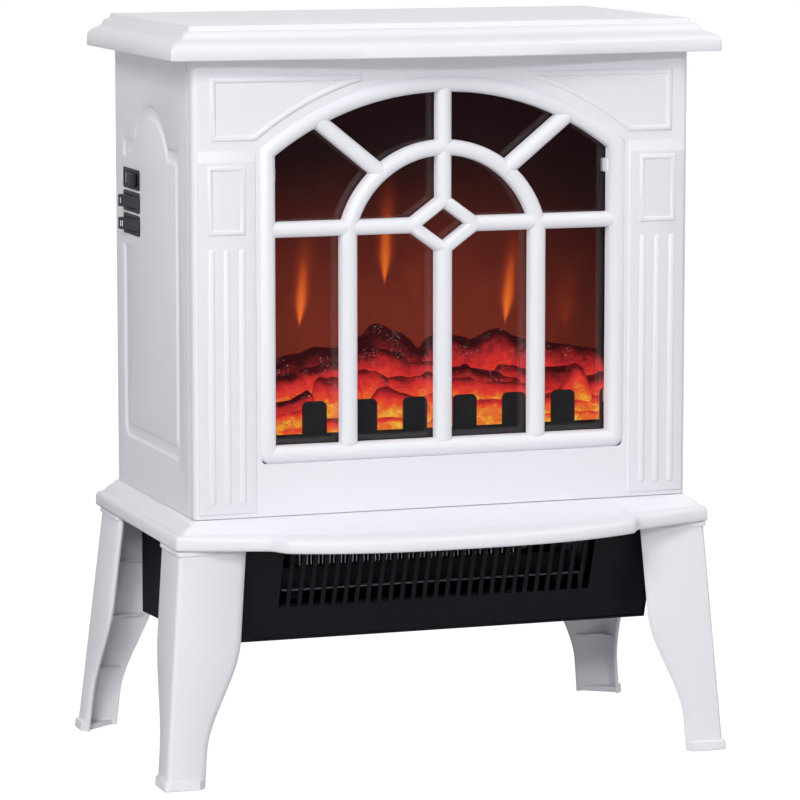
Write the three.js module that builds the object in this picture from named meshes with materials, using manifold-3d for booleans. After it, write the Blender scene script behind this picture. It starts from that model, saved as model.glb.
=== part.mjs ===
// Free-standing electric fireplace: a moulded stove body on four splayed legs,
// with a flame effect behind an arched window and a fan heater under the hearth.
// Millimetres, +Z up, the window faces -Y, origin on the floor at the centre of the footprint.
import * as THREE from 'three';
import { mergeVertices } from 'three/addons/utils/BufferGeometryUtils.js';
import Module from 'manifold-3d';

const wasm = await Module();
wasm.setup();

// ---------------------------------------------------------------- driving dimensions
const HEIGHT = 535;
const HEARTH_REACH = 62.5; // middle of the bowed hearth, ahead of the body's front face
const REAR_REACH = 218; // back of the rear feet, behind the body's front face
const FRONT = HEARTH_REACH - (HEARTH_REACH + REAR_REACH) / 2; // the body's front face
const GAP = 0.35; // between pieces that touch
const RUNNING = 0.09; // radial clearance of a shaft in its bush
const WALL = 3; // moulded wall

const BODY = { half: 185.1, depth: 203.3, base: 188.7, top: 511.7 };
const BODY_BACK = FRONT + BODY.depth;
const RETURN_DEPTH = 13.5; // how far the front moulding wraps onto the sides

const CAP = { half: 205.5, front: FRONT - 16.1, back: FRONT + 207.9, bow: 14, panelInset: 17 };
const PLINTH = { half: 200.9, corner: FRONT - 5.5, back: FRONT + 210.5, base: 168.7 };
const FOOT = {
  frontHalf: 214.6,
  backHalf: 218.3,
  front: FRONT - 17.2,
  back: FRONT + REAR_REACH,
  width: 29.6,
  rearDepth: 24,
};
const RIB = 7.5; // how far a rib inside a leg reaches from the corner's outside
const LEG = { topHalf: 200.2, topFront: FRONT - 8, topBack: FRONT + 203, topWidth: 52 };

const WINDOW = { half: 125.5, sill: 238.5, archRadius: 206.9, crown: 485.7 };
const FRAME_HALF = 6.2; // half the width of the window's outer bar
const TRANSOM_Z = 391.5;
const MULLION_X = 71;
const PILASTER_X = 162;
const GLASS_FRONT = FRONT + 11;

const HOUSING = { base: 94.3, frontHalf: 166.3, rearHalf: 178, toe: 28, rear: 167, lean: 19 };
const SHEET = 1.5; // folded steel sheet
const SLOT = { count: 28, pitch: 8.6, width: 5.2, low: 119.5, high: 163 };

const FAN = { y: FRONT + 100, z: 136, radius: 25, half: 104, shaft: 2.5 };
const SPINDLE = { y: FRONT + 112, z: 262, half: 118, shaft: 2 };
const SCREEN_Y = FRONT + 78;
const FIREBOX = { half: 149, floor: 228, roof: 497, back: FRONT + 150 };

const SWITCH = { y: FRONT + 157, pitch: 16.7, top: 416.9, long: 42, high: 14.8, rock: 12 };

// ---------------------------------------------------------------- materials
const finish = (color, roughness, metalness = 0, extra = {}) =>
  new THREE.MeshStandardMaterial({ color, roughness, metalness, ...extra });

const WHITE = finish(0xe9eaf0, 0.42);
const BLACK_STEEL = finish(0x17191d, 0.45, 0.3);
const BLACK_PLASTIC = finish(0x303237, 0.4);
const GALVANISED = finish(0xa9adb0, 0.4, 0.8);
const ALUMINIUM = finish(0xc4c7ca, 0.35, 0.9);
const GLASS = finish(0x1a1412, 0.06, 0, { transparent: true, opacity: 0.35 });
const EMBER = finish(0xc8401c, 0.6, 0, { emissive: 0x8a1c08 });
const SCREEN = finish(0x6b2a16, 0.5, 0, { emissive: 0x3a1206 });
const BOARD = finish(0x1f5a38, 0.5);
const BRASS = finish(0xb39148, 0.35, 0.9);

// ---------------------------------------------------------------- solids
const part = new THREE.Group();

function add(name, geometry, material) {
  const mesh = new THREE.Mesh(geometry, material);
  mesh.name = name;
  part.add(mesh);
  return mesh;
}

function toManifold(geometry) {
  const bare = geometry.clone();
  bare.deleteAttribute('normal');
  bare.deleteAttribute('uv');
  const merged = mergeVertices(bare, 1e-4);
  const vertProperties = new Float32Array(merged.attributes.position.array);
  const triVerts = new Uint32Array(merged.index.array);
  return new wasm.Manifold(new wasm.Mesh({ numProp: 3, vertProperties, triVerts }));
}

function toGeometry(solid) {
  const mesh = solid.getMesh();
  const geometry = new THREE.BufferGeometry();
  geometry.setAttribute('position', new THREE.BufferAttribute(mesh.vertProperties, 3));
  geometry.setIndex(new THREE.BufferAttribute(mesh.triVerts, 1));
  return geometry;
}

function join(...pieces) {
  return toGeometry(pieces.map(toManifold).reduce((all, next) => all.add(next)));
}

function cut(base, ...tools) {
  return toGeometry(tools.map(toManifold).reduce((left, tool) => left.subtract(tool), toManifold(base)));
}

function box(x0, x1, y0, y1, z0, z1) {
  const geometry = new THREE.BoxGeometry(x1 - x0, y1 - y0, z1 - z0);
  return geometry.translate((x0 + x1) / 2, (y0 + y1) / 2, (z0 + z1) / 2);
}

// A cylinder between two values along one axis.
function rod(axis, radius, from, to, a, b, sides = 20) {
  const geometry = new THREE.CylinderGeometry(radius, radius, to - from, sides);
  const middle = (from + to) / 2;
  if (axis === 'x') {
    return geometry.rotateZ(Math.PI / 2).translate(middle, a, b);
  }
  if (axis === 'y') {
    return geometry.translate(a, middle, b);
  }
  return geometry.rotateX(Math.PI / 2).translate(a, b, middle);
}

// An outline drawn in X and Z, given thickness along Y.
function upright(shape, yFront, yBack, curveSegments = 24) {
  const geometry = new THREE.ExtrudeGeometry(shape, {
    depth: yBack - yFront,
    bevelEnabled: false,
    curveSegments,
  });
  return geometry.rotateX(Math.PI / 2).translate(0, yBack, 0);
}

// An outline drawn in Y and Z, given thickness along X.
function sideways(shape, x0, x1, curveSegments = 16) {
  const geometry = new THREE.ExtrudeGeometry(shape, { depth: x1 - x0, bevelEnabled: false, curveSegments });
  const turn = new THREE.Matrix4().makeBasis(
    new THREE.Vector3(0, 1, 0),
    new THREE.Vector3(0, 0, 1),
    new THREE.Vector3(1, 0, 0),
  );
  return geometry.applyMatrix4(turn).translate(x0, 0, 0);
}

function outlineShape(points) {
  return new THREE.Shape(points.map(([a, b]) => new THREE.Vector2(a, b)));
}

function rectangle(x0, x1, y0, y1) {
  return outlineShape([[x0, y0], [x1, y0], [x1, y1], [x0, y1]]);
}

function signedVolume(positions, index) {
  let sum = 0;
  const [a, b, c] = [new THREE.Vector3(), new THREE.Vector3(), new THREE.Vector3()];
  for (let i = 0; i < index.length; i += 3) {
    a.fromArray(positions, index[i] * 3);
    b.fromArray(positions, index[i + 1] * 3);
    c.fromArray(positions, index[i + 2] * 3);
    sum += a.dot(b.cross(c));
  }
  return sum;
}

// A skin over matching rings of points. flatten gives a ring's 2-D outline for its end cap;
// without it the rings close on themselves. Outlines with straight runs of points are capped by
// a fan around their middle.
function loft(rings, flatten = null, fan = false) {
  const count = rings[0].length;
  const positions = rings.flat().flatMap((point) => point.toArray());
  const index = [];
  const strips = flatten ? rings.length - 1 : rings.length;
  for (let i = 0; i < strips; i += 1) {
    const next = ((i + 1) % rings.length) * count;
    for (let j = 0; j < count; j += 1) {
      const k = (j + 1) % count;
      index.push(i * count + j, i * count + k, next + k);
      index.push(i * count + j, next + k, next + j);
    }
  }
  for (const ring of flatten ? [0, rings.length - 1] : []) {
    const flat = rings[ring].map((point, j) => flatten(point, j));
    const start = ring * count;
    if (fan) {
      const hub = new THREE.Vector3();
      rings[ring].forEach((point) => hub.addScaledVector(point, 1 / count));
      positions.push(...hub.toArray());
      const middle = positions.length / 3 - 1;
      flat.forEach((point, j) => {
        const edge = [start + j, start + ((j + 1) % count)];
        index.push(...(ring > 0 ? edge : edge.reverse()), middle);
      });
    } else {
      const forward = THREE.ShapeUtils.area(flat) > 0;
      for (const [a, b, c] of THREE.ShapeUtils.triangulateShape(flat, [])) {
        const same = THREE.ShapeUtils.area([flat[a], flat[b], flat[c]]) > 0 === forward;
        const corners = same === ring > 0 ? [a, b, c] : [c, b, a];
        index.push(...corners.map((corner) => start + corner));
      }
    }
  }
  if (signedVolume(positions, index) < 0) {
    index.reverse();
  }
  const geometry = new THREE.BufferGeometry();
  geometry.setAttribute('position', new THREE.Float32BufferAttribute(positions, 3));
  geometry.setIndex(index);
  return geometry;
}

const inPlan = (point) => new THREE.Vector2(point.x, point.y);

// A bar of one section along a path of X,Z points. Section points are [across, towards the front].
function bar(path, section, yBase, closed = false) {
  const last = path.length - 1;
  const normals = path.map((point, i) => {
    const before = closed || i > 0 ? path[(i + last) % path.length] : point;
    const after = closed || i < last ? path[(i + 1) % path.length] : point;
    const arrive = point.clone().sub(before).normalize();
    const leave = after.clone().sub(point).normalize();
    const along = arrive.clone().add(leave).normalize();
    const side = new THREE.Vector2(-along.y, along.x);
    const reference = arrive.lengthSq() > 0 ? arrive : leave;
    const stretch = 1 / Math.abs(side.dot(new THREE.Vector2(-reference.y, reference.x)));
    return side.multiplyScalar(stretch);
  });
  const rings = path.map((point, i) => section.map(([across, out]) => new THREE.Vector3(
    point.x + normals[i].x * across,
    yBase - out,
    point.y + normals[i].y * across,
  )));
  const capOutline = section.map(([across, out]) => new THREE.Vector2(across, out));
  return loft(rings, closed ? null : (point, j) => capOutline[j]);
}

// Half-round front on a square back.
function halfRound(half, crown, back, steps = 5) {
  const points = [[half, -back], [-half, -back]];
  for (let i = 0; i <= steps; i += 1) {
    const angle = Math.PI * (1 - i / steps);
    points.push([half * Math.cos(angle), crown * Math.sin(angle)]);
  }
  return points;
}

function arcPoints(cx, cy, radius, from, to, steps) {
  const points = [];
  for (let i = 0; i <= steps; i += 1) {
    const angle = from + ((to - from) * i) / steps;
    points.push(new THREE.Vector2(cx + radius * Math.cos(angle), cy + radius * Math.sin(angle)));
  }
  return points;
}

function smoothstep(edge0, edge1, value) {
  const t = Math.min(Math.max((value - edge0) / (edge1 - edge0), 0), 1);
  return t * t * (3 - 2 * t);
}

// ---------------------------------------------------------------- top cap
const CAP_PROFILE = [
  // [in from the rim, up from the lid's bottom edge]
  [0, 0],
  [0.5, 7.6],
  [2.4, 10.8],
  [5.3, 12.5],
  [8.6, 13.6],
  [11.6, 16],
  [14, 19],
  [CAP.panelInset, 19.3],
  [CAP.panelInset + 0.8, 23],
];

function capRing(inset, z) {
  const half = CAP.half - inset;
  const bow = CAP.bow * (1 - (0.8 * inset) / CAP.panelInset);
  const ring = [];
  for (let i = 0; i <= 20; i += 1) {
    const x = -half + (2 * half * i) / 20;
    const y = CAP.front + inset - bow * Math.cos((Math.PI * x) / (2 * half)) ** 2;
    ring.push(new THREE.Vector3(x, y, z));
  }
  ring.push(new THREE.Vector3(half, CAP.back - inset, z));
  ring.push(new THREE.Vector3(-half, CAP.back - inset, z));
  return ring;
}

function topCap() {
  const rise = (HEIGHT - BODY.top) / CAP_PROFILE.at(-1)[1];
  const rings = CAP_PROFILE.map(([inset, up]) => capRing(inset, BODY.top + up * rise));
  const lid = loft(rings, inPlan, true);
  const inner = BODY.half - 8;
  const hollow = box(-inner, inner, FRONT + 8, BODY_BACK - 8, BODY.top - 1, HEIGHT - 8);
  return cut(lid, hollow);
}

add('top_cap', topCap(), WHITE);

// ---------------------------------------------------------------- front panel
function archWindow(half, sill, radius, corner, Outline = THREE.Shape) {
  const centre = WINDOW.crown - WINDOW.archRadius;
  const spring = Math.asin(half / radius);
  const outline = new Outline();
  outline.moveTo(-half + corner, sill);
  outline.lineTo(half - corner, sill);
  outline.absarc(half - corner, sill + corner, corner, -Math.PI / 2, 0);
  outline.lineTo(half, centre + radius * Math.cos(spring));
  outline.absarc(0, centre, radius, Math.PI / 2 - spring, Math.PI / 2 + spring);
  outline.lineTo(-half, sill + corner);
  outline.absarc(-half + corner, sill + corner, corner, Math.PI, Math.PI * 1.5);
  return outline;
}

// Raised panel in the corner between the arch and the capital: side is -1 or 1.
function spandrel(side) {
  const centre = WINDOW.crown - WINDOW.archRadius;
  const radius = WINDOW.archRadius + 20;
  const [top, bottom] = [497.5, 454.8];
  const [outer, inner] = [174, 142];
  const low = Math.acos(inner / radius);
  const high = Math.asin((top - centre) / radius);
  const arc = arcPoints(0, centre, radius, low, high, 8).map((p) => [side * p.x, p.y]);
  return outlineShape([[side * outer, top], [side * outer, bottom], [side * inner, bottom], ...arc]);
}

function frontPanel() {
  const outer = rectangle(-BODY.half, BODY.half, BODY.base + GAP, BODY.top - GAP);
  const reach = FRAME_HALF * 2 + GAP;
  const radius = WINDOW.archRadius + reach;
  const sill = WINDOW.sill - reach;
  outer.holes.push(archWindow(WINDOW.half + reach, sill, radius, 14.5, THREE.Path));
  const pieces = [upright(outer, FRONT, FRONT + WALL, 12)];
  const [low, high] = [BODY.base + GAP, BODY.top - GAP];
  for (const side of [-1, 1]) {
    const edge = side * BODY.half;
    const back = edge - side * WALL;
    pieces.push(box(Math.min(edge, back), Math.max(edge, back), FRONT, FRONT + RETURN_DEPTH, low, high));
    pieces.push(upright(spandrel(side), FRONT - 1.2, FRONT + 1));
    const x = side * PILASTER_X;
    pieces.push(box(x - 21.5, x + 21.5, FRONT - 2.4, FRONT + 1, 439.6, 448.2));
    pieces.push(box(x - 12.2, x + 12.2, FRONT - 1.4, FRONT + 1, 389.5, 437.7));
    for (const rib of [-11.2, 0, 11.2]) {
      pieces.push(box(x + rib - 2.2, x + rib + 2.2, FRONT - 1.4, FRONT + 1, 199.5, 379));
    }
  }
  return join(...pieces);
}

add('front_panel', frontPanel(), WHITE);

// ---------------------------------------------------------------- window grille
const GRILLE_BASE = FRONT + 3; // where the bars are widest
const BAR_CROWN = 6;
const BAR_BACK = 5.5;

// How far from `start`, in direction `angle`, a ray meets a circle centred on the window's axis.
function reachCircle(startZ, angle, centreZ, radius) {
  const rise = startZ - centreZ;
  const b = rise * Math.sin(angle);
  return -b + Math.sqrt(b * b - rise * rise + radius * radius);
}

// The outer bar: two jambs on a sill with rounded corners, closed by the arch.
function frameBar() {
  const half = WINDOW.half + FRAME_HALF;
  const radius = WINDOW.archRadius + FRAME_HALF;
  const corner = 8;
  const [cornerX, cornerZ] = [half - corner, WINDOW.sill - FRAME_HALF + corner];
  const spring = Math.acos(half / radius);
  const path = [
    ...arcPoints(-cornerX, cornerZ, corner, Math.PI, Math.PI * 1.5, 4),
    ...arcPoints(cornerX, cornerZ, corner, Math.PI * 1.5, Math.PI * 2, 4),
    ...arcPoints(0, WINDOW.crown - WINDOW.archRadius, radius, spring, Math.PI - spring, 18),
  ];
  return bar(path, halfRound(FRAME_HALF, BAR_CROWN, BAR_BACK), GRILLE_BASE, true);
}

function straightBar(x0, z0, x1, z1, half, crown = BAR_CROWN - 0.6) {
  const path = [new THREE.Vector2(x0, z0), new THREE.Vector2(x1, z1)];
  return bar(path, halfRound(half, crown, BAR_BACK - 0.5), GRILLE_BASE);
}

function windowGrille() {
  const sill = WINDOW.sill - FRAME_HALF;
  const side = WINDOW.half + FRAME_HALF;
  const crown = WINDOW.crown + FRAME_HALF;
  const pieces = [frameBar()];
  for (const x of [-MULLION_X, MULLION_X]) {
    pieces.push(straightBar(x, sill, x, TRANSOM_Z, 7.2));
  }
  const diamond = { x: 24, z: 17.5 };
  pieces.push(straightBar(0, sill, 0, TRANSOM_Z - diamond.z, 7.2));
  pieces.push(straightBar(0, TRANSOM_Z + diamond.z, 0, crown, 6));
  for (const sign of [-1, 1]) {
    pieces.push(straightBar(sign * diamond.x, TRANSOM_Z, sign * side, TRANSOM_Z, 6));
  }
  const corners = [[0, -diamond.z], [diamond.x, 0], [0, diamond.z], [-diamond.x, 0]];
  const rhombus = corners.map(([x, z]) => new THREE.Vector2(x, TRANSOM_Z + z));
  pieces.push(bar(rhombus, halfRound(4.25, BAR_CROWN - 1, BAR_BACK - 1), GRILLE_BASE, true));
  const archRise = 54.8; // inner arch above the transom's centre line
  const innerRadius = (MULLION_X ** 2 + archRise ** 2) / (2 * archRise);
  const innerCentre = TRANSOM_Z + archRise - innerRadius;
  const start = Math.asin((TRANSOM_Z - innerCentre) / innerRadius);
  const arch = arcPoints(0, innerCentre, innerRadius, start, Math.PI - start, 18);
  pieces.push(bar(arch, halfRound(5.8, BAR_CROWN - 0.8, BAR_BACK - 0.8), GRILLE_BASE));
  const frameCentre = WINDOW.crown - WINDOW.archRadius;
  for (const angle of [39, 141].map((degrees) => (degrees * Math.PI) / 180)) {
    const near = reachCircle(TRANSOM_Z, angle, innerCentre, innerRadius);
    const far = reachCircle(TRANSOM_Z, angle, frameCentre, WINDOW.archRadius + FRAME_HALF);
    const at = (r) => [r * Math.cos(angle), TRANSOM_Z + r * Math.sin(angle)];
    pieces.push(straightBar(...at(near), ...at(far), 6));
  }
  return join(...pieces);
}

add('window_grille', windowGrille(), WHITE);

add('glass_pane', upright(archWindow(WINDOW.half + 8, WINDOW.sill - 8, WINDOW.archRadius + 8, 2), GLASS_FRONT,
  GLASS_FRONT + 3, 10), GLASS);

// Clips that stand on the back of the front panel and hold the edge of the glass.
function glassClip(side, z) {
  const tip = side * (WINDOW.half - 4);
  const foot = side * (WINDOW.half + FRAME_HALF * 2 + 1.5);
  const outer = foot + side * 7;
  const y = GLASS_FRONT + 3 + GAP;
  const arm = box(Math.min(tip, outer), Math.max(tip, outer), y, y + 2, z - 5, z + 5);
  const [f0, f1] = [Math.min(foot, outer), Math.max(foot, outer)];
  return join(arm, box(f0, f1, FRONT + WALL + GAP, y + 2, z - 5, z + 5));
}

for (const [name, side] of [['left', -1], ['right', 1]]) {
  add(`glass_clip_upper_${name}`, glassClip(side, 430), WHITE);
  add(`glass_clip_lower_${name}`, glassClip(side, 262), WHITE);
}

// ---------------------------------------------------------------- side panels and rear cover
// Arch-topped panel raised on each side, drawn in Y and Z.
function sideArch(inset) {
  const middle = FRONT + 112.4;
  const half = 77.4 - inset;
  const [bottom, shoulder] = [225.2 + inset, 446.3 - inset];
  const archHalf = 50.5 - inset * 0.85;
  const rise = 28;
  const radius = (archHalf ** 2 + rise ** 2) / (2 * rise);
  const centre = shoulder + rise - radius;
  const start = Math.acos(archHalf / radius) * Math.sign(shoulder - centre);
  const arc = arcPoints(middle, centre, radius, start, Math.PI - start, 12).map((p) => [p.x, p.y]);
  return outlineShape([[middle - half, bottom], [middle + half, bottom], [middle + half, shoulder], ...arc,
    [middle - half, shoulder]]);
}

const SWITCH_NAMES = ['flame', 'low_heat', 'high_heat'];
const switchZ = (row) => SWITCH.top - row * SWITCH.pitch;
const CUTOUT = { long: 34, high: 12.4 };

function sidePanel(side) {
  const outer = side * BODY.half;
  const inner = outer - side * WALL;
  const [x0, x1] = [Math.min(outer, inner), Math.max(outer, inner)];
  const yFront = FRONT + RETURN_DEPTH + GAP;
  const [low, high] = [BODY.base + GAP, BODY.top - GAP];
  const proud = outer + side * 1.2;
  const emboss = sideways(sideArch(10.2), Math.min(proud, inner), Math.max(proud, inner));
  const flange = side * (BODY.half - 15);
  const [f0, f1] = [Math.min(outer, flange), Math.max(outer, flange)];
  const lap = side * (BODY.half - WALL - 2.5);
  const [l0, l1] = [Math.min(inner + side, lap), Math.max(inner + side, lap)];
  let panel = join(
    box(x0, x1, yFront, BODY_BACK, low, high),
    emboss,
    box(f0, f1, BODY_BACK - 2.5 - GAP - 4, BODY_BACK - 2.5 - GAP, low, high),
    box(l0, l1, yFront, BODY_BACK - 4, low, low + 14),
  );
  for (const z of SCREW_ROWS) {
    const x = side * SCREW_X;
    panel = cut(panel, rod('y', 2, BODY_BACK - 12, BODY_BACK - 1, x, z, 8));
  }
  if (side > 0) {
    return panel;
  }
  const [s0, s1] = [outer - 4, inner + 1];
  const flat = box(s0, outer, SWITCH.y - 24, SWITCH.y + 24, switchZ(2) - 11, switchZ(0) + 11);
  const holes = SWITCH_NAMES.map((name, row) => {
    const z = switchZ(row);
    const [halfLong, halfHigh] = [CUTOUT.long / 2, CUTOUT.high / 2];
    return box(s0, s1, SWITCH.y - halfLong, SWITCH.y + halfLong, z - halfHigh, z + halfHigh);
  });
  return cut(panel, flat, ...holes);
}

const SCREW_X = BODY.half - 9;
const SCREW_ROWS = [206, 350, 494];

add('left_side_panel', sidePanel(-1), WHITE);
add('right_side_panel', sidePanel(1), WHITE);

const GLAND = { x: -146, z: 212 };

function rearCover() {
  const half = BODY.half - WALL - GAP;
  const back = BODY_BACK - GAP;
  const plate = box(-half, half, BODY_BACK - 2.5, back, BODY.base + GAP, BODY.top - GAP);
  const tools = [rod('y', 8.4, back - 9, back + 4, GLAND.x, GLAND.z, 18)];
  for (let column = 0; column < 9; column += 1) {
    const x = -96 + column * 24;
    for (const low of [236, 446]) {
      tools.push(box(x - 3, x + 3, back - 9, back + 4, low, low + 26));
    }
  }
  for (const x of [-SCREW_X, SCREW_X]) {
    SCREW_ROWS.forEach((z) => tools.push(rod('y', 2, back - 9, back + 4, x, z, 8)));
  }
  return cut(plate, ...tools);
}

add('rear_cover', rearCover(), WHITE);

// A turned piece about the Y axis: profile points are [radius, y].
function turned(profile, x, z, sides = 16) {
  const points = profile.map(([radius, y]) => new THREE.Vector2(radius, y));
  return new THREE.LatheGeometry(points, sides).translate(x, 0, z);
}

function screwAlongY(x, z, seat, length) {
  return turned([[0, seat - length], [1.6, seat - length], [1.6, seat], [3.6, seat], [3.4, seat + 1.6],
    [2, seat + 2.4], [0, seat + 2.4]], x, z, 8);
}

for (const [side, sign] of [['left', -1], ['right', 1]]) {
  SCREW_ROWS.forEach((z, row) => {
    const place = ['lower', 'middle', 'upper'][row];
    add(`rear_screw_${side}_${place}`, screwAlongY(sign * SCREW_X, z, BODY_BACK + 0.05, 8), GALVANISED);
  });
}

// Ring with a collar on each face of the rear cover; the flex would pass through its bore.
const glandSeat = BODY_BACK;
add('cord_gland', turned([[3.8, glandSeat - 14], [8, glandSeat - 14], [8, glandSeat], [11, glandSeat],
  [11, glandSeat + 3], [6.4, glandSeat + 10], [3.8, glandSeat + 10], [3.8, glandSeat - 14]],
GLAND.x, GLAND.z, 18), BLACK_PLASTIC);

// ---------------------------------------------------------------- base plinth
// Front edge of the hearth: an arc that sweeps back at each end into the straight skirt.
function hearthFront(x) {
  const away = Math.abs(x);
  const arc = FRONT - HEARTH_REACH + away ** 2 / (2 * 392);
  const skirt = PLINTH.corner - 0.32 * (PLINTH.half - away);
  const blend = smoothstep(115, 150, away);
  return arc * (1 - blend) + skirt * blend;
}

const PLINTH_PROFILE = [
  // [share of the way out from the body, z]
  [0, BODY.base],
  [0.5, BODY.base - 5.9],
  [0.66, BODY.base - 8.5],
  [0.8, BODY.base - 9],
  [0.93, BODY.base - 10.6],
  [0.98, BODY.base - 13.6],
  [1, PLINTH.base],
];
const HEARTH_STEPS = 32;

function plinthRing(share, z, inset = 0) {
  const ring = [];
  for (let i = 0; i <= HEARTH_STEPS; i += 1) {
    const outerX = PLINTH.half * (-1 + (2 * i) / HEARTH_STEPS);
    const innerX = outerX * (BODY.half / PLINTH.half);
    const x = innerX + (outerX - innerX) * share;
    const y = FRONT + (hearthFront(outerX) - FRONT) * share;
    ring.push(new THREE.Vector3(x * (1 - inset / PLINTH.half), y + inset, z));
  }
  const half = BODY.half + (PLINTH.half - BODY.half) * share - inset;
  const back = BODY_BACK + (PLINTH.back - BODY_BACK) * share - inset;
  ring.push(new THREE.Vector3(half, back, z));
  ring.push(new THREE.Vector3(-half, back, z));
  return ring;
}

const LEG_BOSS = { x: 182, front: FRONT + 9, back: FRONT + 188, radius: 6.5 };
const legCorners = [
  ['front_left', -1, -1],
  ['front_right', 1, -1],
  ['rear_left', -1, 1],
  ['rear_right', 1, 1],
];
const bossY = (end) => (end < 0 ? LEG_BOSS.front : LEG_BOSS.back);

function basePlinth() {
  const skirt = loft(PLINTH_PROFILE.map(([share, z]) => plinthRing(share, z)), inPlan, true);
  const hollow = loft([
    plinthRing(1, PLINTH.base - 1, 4),
    plinthRing(0.94, PLINTH.base + 8, 4),
    plinthRing(0.3, BODY.base - 3.5, 4),
  ], inPlan, true);
  const flueHalf = 60;
  const wiring = box(-flueHalf, flueHalf, FRONT + 120, FRONT + 150, BODY.base - 10, BODY.base + 5);
  const shell = cut(skirt, hollow, wiring);
  const bosses = legCorners.map(([name, side, end]) => (
    rod('z', LEG_BOSS.radius, PLINTH.base + 1, BODY.base - 3, side * LEG_BOSS.x, bossY(end), 12)));
  const bores = legCorners.map(([name, side, end]) => (
    rod('z', 2.2, PLINTH.base - 2, BODY.base - 5, side * LEG_BOSS.x, bossY(end), 12)));
  return cut(join(shell, ...bosses), ...bores);
}

add('base_plinth', basePlinth(), WHITE);

// ---------------------------------------------------------------- legs
const LEG_TOP = PLINTH.base - GAP;
const COLLAR = 5;

// Width of a leg's wall at a height: broad at the top, drawn in by an S-curve to the foot.
function legWidth(z, foot = FOOT.width) {
  return foot + (LEG.topWidth - foot) * smoothstep(22, 112, z);
}

// Width of the wall that runs front to back, slimmer at the rear feet.
function legDepth(end, z) {
  return legWidth(z, end < 0 ? FOOT.width : FOOT.rearDepth);
}

function legCorner(end, z) {
  const down = 1 - z / LEG_TOP;
  const half = end < 0 ? FOOT.frontHalf : FOOT.backHalf;
  const [top, foot] = end < 0 ? [LEG.topFront, FOOT.front + 1.2] : [LEG.topBack, FOOT.back - 1.2];
  return { x: LEG.topHalf + (half - 1.2 - LEG.topHalf) * down, y: top + (foot - top) * down };
}

// L-shaped section with its outer corner at x, y; the walls run inwards along X and Y.
function legRing(side, end, z, grow = 0, thickness = WALL) {
  const corner = legCorner(end, z);
  const width = legWidth(z);
  const depth = legDepth(end, z);
  const outline = [
    [-grow, -grow],
    [width, -grow],
    [width, thickness],
    [thickness, thickness],
    [thickness, depth],
    [-grow, depth],
  ];
  return outline.map(([inX, inY]) => new THREE.Vector3(side * (corner.x - inX), corner.y - end * inY, z));
}

// A level plate inside a leg's corner; outline points are measured inwards from the corner.
function legPlate(side, end, z, thickness, outline) {
  const corner = legCorner(end, z);
  const rings = [z, z + thickness].map((level) => outline.map(([inX, inY]) => (
    new THREE.Vector3(side * (corner.x - inX), corner.y - end * inY, level))));
  return loft(rings, inPlan);
}

// A rib that follows both walls of a leg.
function legRib(side, end, z) {
  const across = legWidth(z) - 5;
  const deep = legDepth(end, z) - 5;
  const outline = [[1, 1], [across, 1], [across, RIB], [RIB, RIB], [RIB, deep], [1, deep]];
  return legPlate(side, end, z, 1.8, outline);
}

// The floor of the foot, with a slanted free edge from wall to wall.
function legFloor(side, end) {
  const across = FOOT.width;
  const deep = legDepth(end, 0);
  return legPlate(side, end, 0, 3, [[1, 1], [across, 1], [across, WALL], [WALL, deep], [1, deep]]);
}

function leg(side, end) {
  const levels = [];
  for (let i = 0; i <= 16; i += 1) {
    levels.push((LEG_TOP * i) / 16);
  }
  const pieces = [loft(levels.map((z) => legRing(side, end, z)), inPlan)];
  pieces.push(loft([LEG_TOP - COLLAR, LEG_TOP].map((z) => legRing(side, end, z, 1.2)), inPlan));
  pieces.push(loft([0, 8].map((z) => legRing(side, end, z, 1.2)), inPlan));
  for (const z of [48, 90, 128]) {
    pieces.push(legRib(side, end, z));
  }
  pieces.push(legFloor(side, end));
  pieces.push(legPlate(side, end, LEG_TOP - 3, 3, [[1, 1], [30, 1], [30, 26], [26, 30], [1, 30]]));
  const bore = rod('z', 2.2, LEG_TOP - 8, LEG_TOP + 2, side * LEG_BOSS.x, bossY(end), 12);
  return cut(join(...pieces), bore);
}

function screwAlongZ(x, y, seat, length) {
  const points = [[0, seat + length], [1.7, seat + length], [1.7, seat], [4, seat], [3.6, seat - 1.8],
    [2, seat - 2.6], [0, seat - 2.6]].map(([radius, z]) => new THREE.Vector2(radius, z));
  return new THREE.LatheGeometry(points.reverse(), 8).rotateX(Math.PI / 2).translate(x, y, 0);
}

for (const [name, side, end] of legCorners) {
  add(`${name}_leg`, leg(side, end), WHITE);
  add(`leg_screw_${name}`, screwAlongZ(side * LEG_BOSS.x, bossY(end), LEG_TOP - 3 - GAP, 14), GALVANISED);
}

// ---------------------------------------------------------------- heater housing and outlet
const LEAN = (HOUSING.lean * Math.PI) / 180;
const HOUSING_TOP = BODY.base - 7.7;
const DECK = BODY.base - 3.5; // underside of the plinth's deck
const faceY = (z) => FRONT + HOUSING.toe - (z - HOUSING.base) * Math.tan(LEAN);

function housingRing(z, inset) {
  const back = FRONT + HOUSING.rear - inset;
  const front = faceY(z) + inset;
  return [
    new THREE.Vector3(-HOUSING.frontHalf + inset, front, z),
    new THREE.Vector3(HOUSING.frontHalf - inset, front, z),
    new THREE.Vector3(HOUSING.rearHalf - inset, back, z),
    new THREE.Vector3(-HOUSING.rearHalf + inset, back, z),
  ];
}

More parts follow.
